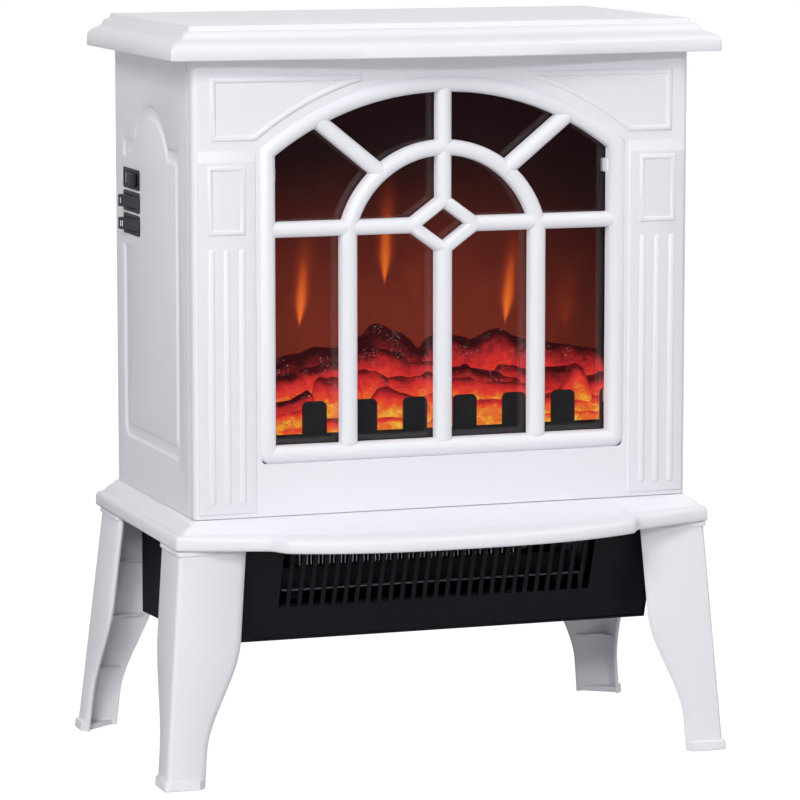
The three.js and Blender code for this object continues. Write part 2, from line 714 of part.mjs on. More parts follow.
function heaterHousing() {
  const outside = loft([HOUSING.base, HOUSING_TOP].map((z) => housingRing(z, 0)), inPlan);
  const inside = loft([HOUSING.base + SHEET, HOUSING_TOP + 5].map((z) => housingRing(z, SHEET)), inPlan);
  const face = loft([HOUSING.base + SHEET, HOUSING_TOP + 5].map((z) => (
    housingRing(z, SHEET).map((p, i) => (i < 2 ? p.clone().setY(p.y - 12) : p)))), inPlan);
  const slots = [];
  for (let i = 0; i < 16; i += 1) {
    const x = -112.5 + i * 15;
    const rear = FRONT + HOUSING.rear;
    slots.push(box(x - 3, x + 3, rear - 4, rear + 4, HOUSING.base + 14, HOUSING.base + 52));
  }
  const lugs = [];
  for (const side of [-1, 1]) {
    for (const y of [FRONT + 50, FRONT + 136]) {
      const flare = (HOUSING.rearHalf - HOUSING.frontHalf) * ((y - FRONT) / HOUSING.rear);
      const x = side * (HOUSING.frontHalf + flare - 8);
      lugs.push(box(x - 7.4, x + 7.4, y, y + 14, HOUSING_TOP - 2, DECK - GAP));
    }
  }
  return join(cut(outside, inside, face, ...slots), ...lugs);
}

add('heater_housing', heaterHousing(), BLACK_STEEL);

// The box's front sheet, drawn flat and then leaned back.
function outletGrille() {
  const rise = (z) => (z - HOUSING.base) / Math.cos(LEAN);
  const half = HOUSING.frontHalf - SHEET - GAP;
  const sheet = box(-half, half, 0, 1.2, rise(HOUSING.base + SHEET + GAP), rise(HOUSING_TOP - 6));
  const slots = [];
  for (let i = 0; i < SLOT.count; i += 1) {
    const x = (i - (SLOT.count - 1) / 2) * SLOT.pitch;
    slots.push(box(x - SLOT.width / 2, x + SLOT.width / 2, -2, 3, rise(SLOT.low), rise(SLOT.high)));
  }
  return cut(sheet, ...slots).rotateX(LEAN).translate(0, faceY(HOUSING.base) + 0.3, HOUSING.base);
}

add('outlet_grille', outletGrille(), BLACK_STEEL);

function guardBars() {
  const pieces = [];
  for (const x of [-112, 112]) {
    pieces.push(box(x - 3, x + 3, 0, 3, 20, 74));
  }
  for (const z of [28, 39.5, 52, 66]) {
    pieces.push(box(-112, 112, 0.2, 2.4, z, z + 3.6));
  }
  return join(...pieces).rotateX(LEAN).translate(0, faceY(HOUSING.base) + 7, HOUSING.base);
}

add('guard_bars', guardBars(), BLACK_STEEL);

// ---------------------------------------------------------------- heating element and blower
const ELEMENT = { y0: FRONT + 36, y1: FRONT + 50, z0: 122, z1: 172, half: 98 };

function heatingElement() {
  const pieces = [];
  for (const side of [-1, 1]) {
    const x = side * (ELEMENT.half + 4);
    pieces.push(box(x - 4, x + 4, ELEMENT.y0, ELEMENT.y1, ELEMENT.z0, ELEMENT.z1));
  }
  for (let row = 0; row < 4; row += 1) {
    const z = ELEMENT.z0 + 3 + row * 14;
    pieces.push(box(-ELEMENT.half - 2, ELEMENT.half + 2, ELEMENT.y0 + 4, ELEMENT.y1 - 4, z, z + 3));
  }
  for (let i = 0; i < 15; i += 1) {
    const x = -ELEMENT.half + 7 + i * 13.1;
    pieces.push(box(x - 0.6, x + 0.6, ELEMENT.y0 + 1, ELEMENT.y1 - 1, ELEMENT.z0 + 1, ELEMENT.z1 - 1));
  }
  return join(...pieces);
}

add('heating_element', heatingElement(), ALUMINIUM);
add('thermal_cutout', join(
  rod('y', 8, ELEMENT.y1 + GAP + 1.5, ELEMENT.y1 + 8, 72, 150, 16),
  box(62, 82, ELEMENT.y1 + GAP, ELEMENT.y1 + 2, 146, 154),
), BRASS);

function fanDrum() {
  const pieces = [];
  for (const x of [-FAN.half, -1, FAN.half - 2]) {
    pieces.push(rod('x', FAN.radius, x, x + 2, FAN.y, FAN.z, 24));
  }
  for (let i = 0; i < 12; i += 1) {
    const blade = box(-FAN.half + 1, FAN.half - 1, -0.6, 0.6, -4, 4);
    blade.rotateX(0.6).translate(0, 0, FAN.radius - 5).rotateX((i * Math.PI) / 6);
    pieces.push(blade.translate(0, FAN.y, FAN.z));
  }
  pieces.push(rod('x', FAN.shaft, -FAN.half - 14, -FAN.half + 1, FAN.y, FAN.z, 16));
  pieces.push(rod('x', FAN.shaft, FAN.half - 1, FAN.half + 12, FAN.y, FAN.z, 16));
  return join(...pieces);
}

add('fan_drum', fanDrum(), ALUMINIUM);

// Sheet that wraps the back and the top of the rotor and leads the air to the element.
function blowerScroll() {
  const radius = FAN.radius + 4;
  const outer = arcPoints(FAN.y, FAN.z, radius + SHEET, Math.PI * 0.6, -Math.PI * 0.28, 14);
  const inner = arcPoints(FAN.y, FAN.z, radius, -Math.PI * 0.28, Math.PI * 0.6, 14);
  const lip = { y: ELEMENT.y1 + 6, z: ELEMENT.z1 + 2 };
  const shape = outlineShape([
    [lip.y, lip.z + SHEET],
    ...outer.map((p) => [p.x, p.y]),
    ...inner.map((p) => [p.x, p.y]),
    [lip.y, lip.z],
  ]);
  const sheet = sideways(shape, -FAN.half - 4, FAN.half + 4);
  const cheeks = [-FAN.half - 4, FAN.half + 4 - SHEET].map((x) => (
    box(x, x + SHEET, FAN.y - 26, FAN.y + 30, FAN.z - 22, FAN.z + 30)));
  const bores = rod('x', 6, -FAN.half - 8, FAN.half + 8, FAN.y, FAN.z, 16);
  return cut(join(sheet, ...cheeks), bores);
}

add('blower_scroll', blowerScroll(), GALVANISED);

const motorStart = FAN.half + 4 + GAP;
add('fan_motor', cut(
  join(
    rod('x', 22, motorStart + 2, motorStart + 34, FAN.y, FAN.z, 24),
    rod('x', 9, motorStart + 33, motorStart + 40, FAN.y, FAN.z, 16),
    box(motorStart, motorStart + 2.5, FAN.y - 24, FAN.y + 24, FAN.z - 20, FAN.z + 20),
  ),
  rod('x', FAN.shaft + RUNNING, motorStart - 2, motorStart + 10, FAN.y, FAN.z, 24),
), GALVANISED);

const bushStart = -FAN.half - 4 - GAP;
add('fan_bush', cut(
  rod('x', 10, bushStart - 12, bushStart, FAN.y, FAN.z, 20),
  rod('x', FAN.shaft + RUNNING, bushStart - 14, bushStart + 2, FAN.y, FAN.z, 24),
), BLACK_PLASTIC);

// ---------------------------------------------------------------- firebox and flame effect
const floorTop = FIREBOX.floor;
add('firebox_floor', box(-FIREBOX.half, FIREBOX.half, GLASS_FRONT + 6, FIREBOX.back, floorTop - 2, floorTop),
  BLACK_STEEL);
for (const [name, side] of [['left', -1], ['right', 1]]) {
  const x = side * (FIREBOX.half + GAP);
  const [x0, x1] = [Math.min(x, x + side * 2), Math.max(x, x + side * 2)];
  add(`firebox_${name}_wall`, box(x0, x1, GLASS_FRONT + 6, FIREBOX.back, BODY.base + GAP, FIREBOX.roof),
    BLACK_STEEL);
}
add('firebox_roof', box(-FIREBOX.half - 2, FIREBOX.half + 2, GLASS_FRONT + 6, FIREBOX.back,
  FIREBOX.roof + GAP, FIREBOX.roof + 2), BLACK_STEEL);
add('firebox_back', join(
  box(-FIREBOX.half - 2, FIREBOX.half + 2, FIREBOX.back + GAP, FIREBOX.back + 2, BODY.base + GAP,
    FIREBOX.roof + 2),
  box(-FIREBOX.half - 2, FIREBOX.half + 2, FIREBOX.back + 1, FIREBOX.back + 14, BODY.base + GAP,
    BODY.base + 2),
), BLACK_STEEL);

// Castellated strip that stands in front of the logs.
function emberFence() {
  const [base, shoulder, tip] = [floorTop + GAP, 243, 266];
  const [pitch, first] = [37.9, -127.5];
  const shape = new THREE.Shape();
  shape.moveTo(-146, base);
  shape.lineTo(147, base);
  shape.lineTo(147, shoulder);
  for (let i = 7; i >= 0; i -= 1) {
    const x = first + i * pitch;
    shape.lineTo(x + 9, shoulder);
    shape.lineTo(x + 9, tip - 4);
    shape.absarc(x + 5, tip - 4, 4, 0, Math.PI / 2);
    shape.absarc(x - 5, tip - 4, 4, Math.PI / 2, Math.PI);
    shape.lineTo(x - 9, shoulder);
  }
  shape.lineTo(-146, shoulder);
  return upright(shape, FRONT + 24, FRONT + 26, 4);
}

add('ember_fence', emberFence(), BLACK_PLASTIC);

// Heap of moulded logs: a rolling surface with three stacked ridges, open underneath.
function logHeight(x, y) {
  const depth = (y - (FRONT + 29)) / 44;
  const swell = 18 + 46 * Math.sin(Math.min(depth, 1) * Math.PI * 0.5);
  const roll = 7 * Math.sin(x * 0.045 + depth * 3) + 5 * Math.sin(x * 0.11 - depth * 5 + 1.3);
  return floorTop + 8 + swell + roll;
}

function logBed() {
  const [columns, rows] = [20, 5];
  const rings = [];
  for (let i = 0; i <= columns; i += 1) {
    const x = -144 + (288 * i) / columns;
    const ring = [];
    for (let j = 0; j <= rows; j += 1) {
      const y = FRONT + 29 + (44 * j) / rows;
      ring.push(new THREE.Vector3(x, y, logHeight(x, y)));
    }
    for (let j = rows; j >= 0; j -= 1) {
      const y = FRONT + 31.5 + (39 * j) / rows;
      ring.push(new THREE.Vector3(x, y, Math.max(logHeight(x, y) - 4, floorTop + 4)));
    }
    rings.push(ring);
  }
  const shell = loft(rings, (point) => new THREE.Vector2(point.y, point.z));
  const skirts = [
    box(-144, 144, FRONT + 29.2, FRONT + 31.2, floorTop + GAP, floorTop + 20),
    box(-144, 144, FRONT + 70.8, FRONT + 72.8, floorTop + GAP, floorTop + 58),
  ];
  return join(shell, ...skirts);
}

add('log_bed', logBed(), EMBER);

add('flame_screen', box(-FIREBOX.half + GAP, FIREBOX.half - GAP, SCREEN_Y, SCREEN_Y + 2, floorTop + GAP,
  FIREBOX.roof - GAP), SCREEN);

// Rod with bent reflective strips that throws the moving light onto the screen.
function flameSpindle() {
  const pieces = [rod('x', SPINDLE.shaft, -SPINDLE.half - 10, SPINDLE.half + 10, SPINDLE.y, SPINDLE.z, 16)];
  for (let i = 0; i < 12; i += 1) {
    const x = -SPINDLE.half + 14 + i * 17.5;
    for (const turn of [0, 1]) {
      const strip = box(-3, 3, -0.4, 0.4, 1, 17);
      strip.rotateY(turn ? 0.4 : -0.4).rotateX((i * 2 + turn * 3) * 1.05);
      pieces.push(strip.translate(x + turn * 8, SPINDLE.y, SPINDLE.z));
    }
  }
  return join(...pieces);
}

add('flame_spindle', flameSpindle(), ALUMINIUM);

const spindleMotor = SPINDLE.half + 2;
add('flame_motor', cut(
  join(
    rod('x', 16, spindleMotor, spindleMotor + 16, SPINDLE.y, SPINDLE.z, 20),
    box(spindleMotor, spindleMotor + 1.5, SPINDLE.y - 24, SPINDLE.y + 24, SPINDLE.z - 8, SPINDLE.z + 8),
  ),
  rod('x', SPINDLE.shaft + RUNNING, spindleMotor - 2, spindleMotor + 10, SPINDLE.y, SPINDLE.z, 24),
), GALVANISED);

function motorBracket(x0) {
  const post = [SPINDLE.y + 18, SPINDLE.y + 26];
  const plate = box(x0, x0 + 2, SPINDLE.y - 26, post[1], floorTop + GAP, SPINDLE.z + 14);
  const foot = box(x0 - 8, x0 + 2, SPINDLE.y - 26, post[1], floorTop + GAP, floorTop + 2);
  return cut(join(plate, foot), rod('x', 3.4, x0 - 4, x0 + 6, SPINDLE.y, SPINDLE.z, 14));
}

add('flame_motor_bracket', motorBracket(spindleMotor - 2 - GAP), GALVANISED);
add('spindle_bracket', motorBracket(-SPINDLE.half - 6), GALVANISED);
add('spindle_bush', cut(
  join(
    rod('x', 3, -SPINDLE.half - 7, -SPINDLE.half - 2, SPINDLE.y, SPINDLE.z, 14),
    rod('x', 6, -SPINDLE.half - 9, -SPINDLE.half - 6 - GAP, SPINDLE.y, SPINDLE.z, 14),
  ),
  rod('x', SPINDLE.shaft + RUNNING, -SPINDLE.half - 12, -SPINDLE.half + 2, SPINDLE.y, SPINDLE.z, 24),
), BLACK_PLASTIC);

// A circuit board with a row of light-emitting diodes.
function ledBoard(y0, y1, z, count, reach) {
  const pieces = [box(-reach - 6, reach + 6, y0, y1, z, z + 1.6)];
  for (let i = 0; i < count; i += 1) {
    const x = -reach + (2 * reach * i) / (count - 1);
    pieces.push(rod('z', 2.4, z + 1, z + 6, x, (y0 + y1) / 2, 8));
  }
  return join(...pieces);
}

add('ember_led_board', ledBoard(FRONT + 38, FRONT + 60, floorTop + 2, 8, 110), BOARD);
add('flame_led_board', ledBoard(FRONT + 86, FRONT + 94, floorTop + 2, 6, 96), BOARD);
add('terminal_block', cut(
  box(-150, -110, FRONT + 174, FRONT + 188, BODY.base + GAP, BODY.base + 17),
  ...[-142, -130, -118].map((x) => rod('z', 2.5, BODY.base + 8, BODY.base + 20, x, FRONT + 181, 10)),
), BLACK_PLASTIC);

// ---------------------------------------------------------------- rocker switches
const SWITCH_FACE = -BODY.half - GAP; // seat of the bezel on the side panel
const BEZEL = 1.6;
const ROCKER = { long: 31, high: 9, pin: 1.4, pinReach: 5.5 };
const PIVOT_X = SWITCH_FACE - BEZEL + 1.5;

function switchBody(z) {
  const [halfLong, halfHigh] = [SWITCH.long / 2, SWITCH.high / 2];
  const [cutLong, cutHigh] = [CUTOUT.long / 2 - GAP, CUTOUT.high / 2 - GAP];
  const y = SWITCH.y;
  const bezel = box(SWITCH_FACE - BEZEL, SWITCH_FACE, y - halfLong, y + halfLong, z - halfHigh, z + halfHigh);
  const can = box(SWITCH_FACE - 1, SWITCH_FACE + 20, y - cutLong, y + cutLong, z - cutHigh, z + cutHigh);
  const terminals = [-8, 0, 8].map((dy) => box(SWITCH_FACE + 19, SWITCH_FACE + 27, y + dy - 0.5, y + dy + 0.5,
    z - 2.4, z + 2.4));
  const well = box(SWITCH_FACE - 4, SWITCH_FACE + 9, y - ROCKER.long / 2 - 0.6, y + ROCKER.long / 2 + 0.6,
    z - ROCKER.high / 2 - 0.4, z + ROCKER.high / 2 + 0.4);
  const reach = ROCKER.pinReach + 0.1;
  const pivot = rod('z', ROCKER.pin + RUNNING, z - reach, z + reach, PIVOT_X, y, 24);
  return cut(join(bezel, can, ...terminals), well, pivot);
}

// A rocker on two short pins, with a shallow V across its face and one end standing proud.
function rocker(z, tilt) {
  const half = ROCKER.long / 2;
  const shape = outlineShape([
    // [out from the pivot, along the panel], drawn with the rocker level
    [3.2, -half + 0.6],
    [2, 0],
    [3.2, half - 0.6],
    [-1.5, half - 1.6],
    [-5, 4],
    [-5, -4],
    [-1.5, -half + 1.6],
  ]);
  const geometry = new THREE.ExtrudeGeometry(shape, { depth: ROCKER.high, bevelEnabled: false });
  geometry.translate(0, 0, -ROCKER.high / 2);
  geometry.rotateY(Math.PI).rotateZ(tilt).translate(PIVOT_X, SWITCH.y, z);
  const [low, high] = [z - ROCKER.pinReach, z + ROCKER.pinReach];
  return join(geometry, rod('z', ROCKER.pin, low, high, PIVOT_X, SWITCH.y, 16));
}

const TILT = (SWITCH.rock * Math.PI) / 180;
SWITCH_NAMES.forEach((name, row) => {
  const pressed = name === 'flame';
  add(`${name}_switch_body`, switchBody(switchZ(row)), BLACK_PLASTIC);
  add(`${name}_rocker`, rocker(switchZ(row), pressed ? -TILT : TILT), BLACK_PLASTIC);
});

export default part;
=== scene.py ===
"""The looks of a free-standing electric fireplace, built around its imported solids.

Lengths are millimetres inside the makers of each piece and metres once a piece is finished.
The window faces -Y, +Z is up, and the floor is at zero.
"""

import math

import bmesh
import bpy
from mathutils import Matrix, Vector, noise


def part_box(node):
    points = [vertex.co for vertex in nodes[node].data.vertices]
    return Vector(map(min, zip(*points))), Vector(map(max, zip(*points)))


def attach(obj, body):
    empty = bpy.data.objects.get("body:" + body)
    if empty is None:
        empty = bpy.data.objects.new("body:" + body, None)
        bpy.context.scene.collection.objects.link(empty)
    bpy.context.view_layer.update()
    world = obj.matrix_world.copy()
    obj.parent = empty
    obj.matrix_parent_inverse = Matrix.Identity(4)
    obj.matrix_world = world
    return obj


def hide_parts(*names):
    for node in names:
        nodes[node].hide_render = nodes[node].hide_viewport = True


MM = 0.001
SIDES = {"left": -1, "right": 1}
ENDS = {"front": -1, "rear": 1}

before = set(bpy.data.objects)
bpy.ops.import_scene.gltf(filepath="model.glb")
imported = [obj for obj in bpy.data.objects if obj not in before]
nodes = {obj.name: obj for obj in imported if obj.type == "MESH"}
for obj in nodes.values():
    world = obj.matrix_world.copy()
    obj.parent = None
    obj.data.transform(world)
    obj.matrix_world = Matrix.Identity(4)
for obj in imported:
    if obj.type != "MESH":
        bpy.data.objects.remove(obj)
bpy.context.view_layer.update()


# ---- driving dimensions
def span(node):
    """Lowest and highest corners of a solid, in millimetres."""
    low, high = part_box(node)
    return low / MM, high / MM


HEIGHT = span("top_cap")[1].z
LID_BASE = span("top_cap")[0].z
FRONT = -77.75  # front face of the body
BODY_HALF = 186
BODY_BACK = 125.55
BODY_BASE = 188.7
GAP = 0.35
WALL = 3
RETURN_DEPTH = 13.5

CAP = {"half": 205.5, "front": FRONT - 16.1, "back": FRONT + 207.9, "bow": 14, "panel": 17}
PLINTH = {"half": 201.8, "corner": FRONT - 7, "back": FRONT + 210.5, "base": 168.7}
HEARTH_REACH = 62.5
FOOT = {"front_half": 212.4, "back_half": 216.3, "front": FRONT - 16, "back": FRONT + 216,
        "front_width": 28.8, "rear_width": 30, "rear_depth": 22.5}
LEG = {"half": 199, "front": FRONT - 6, "back": FRONT + 202, "width": 49.5, "top": 168.35}
LEG_EDGE = {"run": 5.2, "fall": 2}
LEG_RIBS = (44.4, 84, 126)
RIB_THICK = 1.6
FLOOR_THICK = 3.9
SCREW_PLATE_THICK = 2.8

WINDOW = {"half": 125.5, "sill": 238.5, "radius": 206.9, "crown": 485.7}
ARCH_CENTRE = WINDOW["crown"] - WINDOW["radius"]
BAR_HALF = 6.2
BAR_SEAT = FRONT + 3
TRANSOM = 391.5
MULLION = 71
PILASTER = 162

SWITCH = {"y": FRONT + 157, "top": 416.9, "pitch": 16.7}
PIVOT = (-185.55, 79.25)  # where the rockers turn, in X and Y
ROCK = math.radians(12)
OUTLET = {"base": 94.3, "toe": FRONT + 28, "lean": math.radians(19)}


# ---- shader helper
class Wire:
    """An output in a finish, so that sums on it read as plain arithmetic."""

    def __init__(self, finish, output):
        self.finish = finish
        self.output = output

    def __add__(self, other):
        return self.finish.maths("ADD", self, other)

    __radd__ = __add__

    def __sub__(self, other):
        return self.finish.maths("SUBTRACT", self, other)

    def __mul__(self, other):
        return self.finish.maths("MULTIPLY", self, other)

    __rmul__ = __mul__

    def __truediv__(self, other):
        return self.finish.maths("DIVIDE", self, other)


class Finish:
    """A node material; every node in it comes from one method."""

    def __init__(self, name, tree=None):
        if tree is None:
            self.material = bpy.data.materials.new(name)
            self.material.use_nodes = True
            tree = self.material.node_tree
        self.tree = tree
        self.tree.nodes.clear()
        self.place = self.node("TexCoord", output="Object")

    def node(self, kind, inputs=None, output=0, **settings):
        made = self.tree.nodes.new("ShaderNode" + kind)
        for key, value in settings.items():
            setattr(made, key, value)
        for key, value in (inputs or {}).items():
            if isinstance(value, Wire):
                self.tree.links.new(value.output, made.inputs[key])
            elif value is not None:
                made.inputs[key].default_value = value
        return Wire(self, made.outputs[output]) if made.outputs else made

    def maths(self, operation, *values):
        return self.node("Math", dict(enumerate(values)), operation=operation)

    def ramp(self, value, stops):
        """Colours a value by stops of place and colour."""
        made = self.node("ValToRGB", {"Fac": value})
        elements = made.output.node.color_ramp.elements
        for _ in stops[2:]:
            elements.new(0.5)
        for element, (position, colour) in zip(elements, stops):
            element.position = position
            element.color = (*colour, 1)
        return made

    def spread(self, value, low, high, to_low=0.0, to_high=1.0):
        """Smoothly carries a value from one range to another, held at both ends."""
        inputs = {"Value": value, "From Min": low, "From Max": high, "To Min": to_low,
                  "To Max": to_high}
        return self.node("MapRange", inputs, "Result", interpolation_type="SMOOTHSTEP")

    def blend(self, share, first, second, how="MIX"):
        """Mixes two colours."""
        inputs = {0: share, 6: first, 7: second}
        return self.node("Mix", inputs, 2, data_type="RGBA", blend_type=how)

    def cloud(self, scale, detail=2, stretch=(1, 1, 1)):
        """Soft noise over the piece; scale is in spots per metre."""
        where = self.node("Mapping", {"Vector": self.place, "Scale": stretch})
        inputs = {"Vector": where, "Scale": scale, "Detail": detail}
        return self.node("TexNoise", inputs, "Fac")

    def axis(self, letter):
        """Place along an axis of the piece, in millimetres."""
        return self.node("SeparateXYZ", {"Vector": self.place}, letter) * 1000

    def ray(self, kind):
        """One for rays of a kind and zero for the rest."""
        return self.node("LightPath", output=f"Is {kind} Ray")

    def bump(self, height, distance, strength=1.0):
        inputs = {"Height": height, "Distance": distance, "Strength": strength}
        return self.node("Bump", inputs, "Normal")

    def surface(self, colour, rough, specular=0.5, normal=None, metallic=0.0, glow=None,
                strength=0.0):
        """Ends the finish in one surface shader."""
        return self.close(self.node("BsdfPrincipled", {
            "Base Color": colour, "Roughness": rough, "Specular IOR Level": specular,
            "Normal": normal, "Metallic": metallic, "Emission Color": glow,
            "Emission Strength": strength}))

    def close(self, shader):
        self.node("OutputMaterial", {"Surface": shader})
        return self.material


def grey(level):
    return (level, level, level, 1)


def shaded(colour, times):
    """A colour made lighter or darker."""
    return tuple(part * times for part in colour[:3]) + (1,)


# ---- finishes
def moulded_white():
    """Satin white moulding: a trace of orange peel and slight changes of tone."""
    finish = Finish("moulded_white")
    tone = finish.cloud(9, 3)
    colour = finish.blend(tone, (0.805, 0.803, 0.855, 1), (0.845, 0.843, 0.89, 1))
    peel = finish.bump(finish.cloud(900), 0.00006, 0.35)
    return finish.surface(colour, 0.36 + 0.08 * finish.cloud(40), 0.4, peel)


def black_sheet():
    """Satin black paint over folded steel sheet."""
    finish = Finish("black_sheet")
    tone = finish.cloud(12, 3)
    colour = finish.blend(tone, (0.004, 0.0056, 0.0085, 1), (0.006, 0.0082, 0.0118, 1))
    speckle = finish.bump(finish.cloud(1500), 0.00008, 0.4)
    return finish.surface(colour, 0.42 + 0.1 * finish.cloud(60, 3), 0.16, speckle)


def dark_plastic(name, colour, rough, sheen=0.5):
    finish = Finish(name)
    tone = finish.blend(finish.cloud(70, 3), colour, shaded(colour, 1.25))
    grain = finish.bump(finish.cloud(2400), 0.00006, 0.5)
    return finish.surface(tone, rough + 0.08 * finish.cloud(200), sheen, grain)


def bare_metal(name, colour, rough, grain=(1, 1, 1)):
    finish = Finish(name)
    streak = finish.cloud(500, 3, grain)
    tone = finish.blend(streak, shaded(colour, 0.8), colour)
    rough = rough + 0.16 * finish.cloud(160, 3, grain)
    return finish.surface(tone, rough, normal=finish.bump(streak, 0.00004, 0.5), metallic=1.0)


def circuit_green():
    finish = Finish("circuit_green")
    tracks = finish.spread(finish.cloud(420, 1, (1, 0.2, 1)), 0.48, 0.54)
    colour = finish.blend(tracks, (0.02, 0.11, 0.045, 1), (0.05, 0.19, 0.08, 1))
    return finish.surface(colour, 0.35 + 0.1 * tracks)


def clear_glass():
    """Thin tempered pane: clear, with a faint smoke tint and a sharp reflection."""
    finish = Finish("clear_glass")
    mirror = finish.node("Fresnel", {"IOR": 1.46})
    through = finish.node("BsdfTransparent", {"Color": (0.93, 0.92, 0.92, 1)})
    sheen = finish.node("BsdfGlossy", {"Color": (1, 0.97, 0.96, 1), "Roughness": 0.02})
    both = finish.node("MixShader", {0: mirror, 1: through, 2: sheen})
    return finish.close(both)


def soot_black():
    """Matt black lining of the firebox."""
    finish = Finish("soot_black")
    colour = finish.blend(finish.cloud(30, 4), (0.004, 0.0035, 0.004, 1), (0.009, 0.007, 0.008, 1))
    dust = finish.bump(finish.cloud(1200), 0.0001, 0.5)
    return finish.surface(colour, 0.6 + 0.2 * finish.cloud(90, 3), 0.12, dust)


def glowing_logs():
    """Resin logs with painted light in their glow, standing in for the LEDs below: yellow at the
    grate, red on their faces, painted shade of dark wine-red on top.
    """
    finish = Finish("glowing_logs")
    shade = finish.node("Attribute", output="Fac", attribute_name="shade")
    drift = finish.cloud(30, 3) - 0.5
    mottle = finish.cloud(170, 4) - 0.5
    height = finish.axis("Z") + drift * 26
    grain = finish.cloud(420, 4, (0.6, 1, 1.3)) - 0.5
    # Painted shade: the glow darkens with height and, through the shade attribute, on the tops of the
    # logs, plus random mottling.
    dark = shade * 0.92 + finish.spread(height, 244, 312) * 0.30
    dark = dark + drift * 0.26 + mottle * 0.42 + grain * 0.26
    colour = finish.ramp(dark, [
        (0.0, (0.95, 0.40, 0.035)), (0.08, (0.92, 0.22, 0.03)), (0.18, (0.86, 0.07, 0.030)),
        (0.38, (0.66, 0.030, 0.030)), (0.58, (0.40, 0.020, 0.022)), (0.76, (0.15, 0.010, 0.011)),
        (1.0, (0.034, 0.0045, 0.0065))])
    # Painted light: brighter yellow spots in the glow of the lower logs.
    bright_glow_spots = finish.spread(finish.cloud(300, 4, (0.7, 1, 1.1)), 0.47, 0.63)
    colour = finish.blend(bright_glow_spots * finish.spread(dark, 0.2, 0.0) * 0.8, colour, (1.0, 0.60, 0.075, 1))
    vein = finish.maths("ABSOLUTE", finish.cloud(52, 3, (0.5, 1, 1.5)) - 0.5)
    crack = finish.spread(vein, 0.010, 0.0)
    colour = finish.blend(crack * 0.4, colour, (0.20, 0.008, 0.011, 1))
    patch = finish.spread(finish.cloud(85, 4), 0.56, 0.46)
    patch = patch * finish.spread(dark, 0.25, 0.0) * 0.6
    colour = finish.blend(patch, colour, (0.80, 0.055, 0.03, 1))
    speck = finish.spread(finish.cloud(700, 4), 0.53, 0.64)
    speck = speck * finish.spread(dark, 0.4, 0.1) * 0.5
    colour = finish.blend(speck, colour, (0.66, 0.055, 0.022, 1))
    # Painted highlights: pale glints put into the glow colour on the darker tops of the logs.
    painted_glints = finish.spread(finish.cloud(1050, 2, (0.6, 1, 1)), 0.62, 0.66)
    painted_glints = painted_glints * finish.spread(finish.cloud(70), 0.51, 0.58)
    painted_glints = painted_glints * finish.spread(dark, 0.35, 0.6) * 0.75
    colour = finish.blend(painted_glints, colour, (0.50, 0.28, 0.27, 1))
    # Painted shade in the base colour as well: the resin is darker where its glow is in painted
    # shade.
    unlit = finish.spread(dark, 0.3, 0.8)
    resin = finish.blend(unlit, (0.10, 0.010, 0.008, 1), (0.014, 0.004, 0.005, 1))
    rough = 0.4 + 0.2 * finish.cloud(300, 3)
    bark = finish.bump(finish.cloud(260, 4), 0.0012, 0.7)
    # The glow colour is painted light: the emission stands in for the light of the LED boards under
    # the logs.
    return finish.surface(resin, rough, 0.07, bark, glow=colour, strength=1.02)


# Tongues of painted light on the flame screen.
FLAMES = [
    # x and height of the pointed foot, height of the tongue, half width, lean, strength
    (-84, 311, 76, 4.5, 0.085, 1.0),
    (-18.8, 339, 88, 4.7, 0.03, 0.95),
    (74.5, 307, 80, 4.8, 0.11, 1.0),
    (122, 304, 62, 8.0, 0.06, 0.17),
    (4, 325, 60, 10.0, 0.05, 0.08),
    (-116, 330, 60, 10.0, 0.08, 0.06),
]


def flame_film():
    """Translucent screen: a dull red glow with soft tongues of light thrown on it from behind, all
    painted into its emission.
    """
    finish = Finish("flame_film")
    x = finish.axis("X")
    z = finish.axis("Z")
    wander = (finish.cloud(16, 3) - 0.5) * 30
    glow = finish.spread(z + wander + finish.spread(x, 60, 150) * 24, 300, 446, 1, 0)
    glow = glow * finish.spread(x + wander * 2, 40, 190, 1, 0.42)
    glow = glow * finish.spread(x + wander, -175, -70, 0.6, 1)
    glow = glow * (0.86 + 0.4 * (finish.cloud(34, 3) - 0.5))
    light = None
    for foot_x, foot_z, tall, half, lean, strength in FLAMES:
        up = (z - foot_z) / tall
        shiver = (finish.cloud(30, 2) - 0.5) * 7 * finish.spread(up, 0.2, 0.9)
        swell = 0.12 + finish.spread(up, 0.0, 0.3) * 0.88 + finish.spread(up, 0.45, 1.1) * 0.5
        across = (x - foot_x - lean * (z - foot_z) + shiver) / (half * swell)
        width = finish.maths("EXPONENT", across * across * -1)
        body = finish.spread(up, -0.02, 0.12) * finish.spread(up, 0.08, 1.02, 1, 0)
        tongue = width * body * strength
        light = tongue if light is None else finish.maths("MAXIMUM", light, tongue)
    back = finish.blend(glow, (0.0125, 0.0042, 0.0052, 1), (0.215, 0.0300, 0.0160, 1))
    flames = finish.ramp(light, [(0.0, (0, 0, 0)), (0.3, (0.15, 0.018, 0.002)),
                                 (0.6, (0.46, 0.075, 0.006)), (1.0, (0.82, 0.175, 0.012))])
    colour = finish.blend(1.0, back, flames, "ADD")
    return finish.surface((0.012, 0.006, 0.006, 1), 0.55, 0.1, glow=colour, strength=1.0)


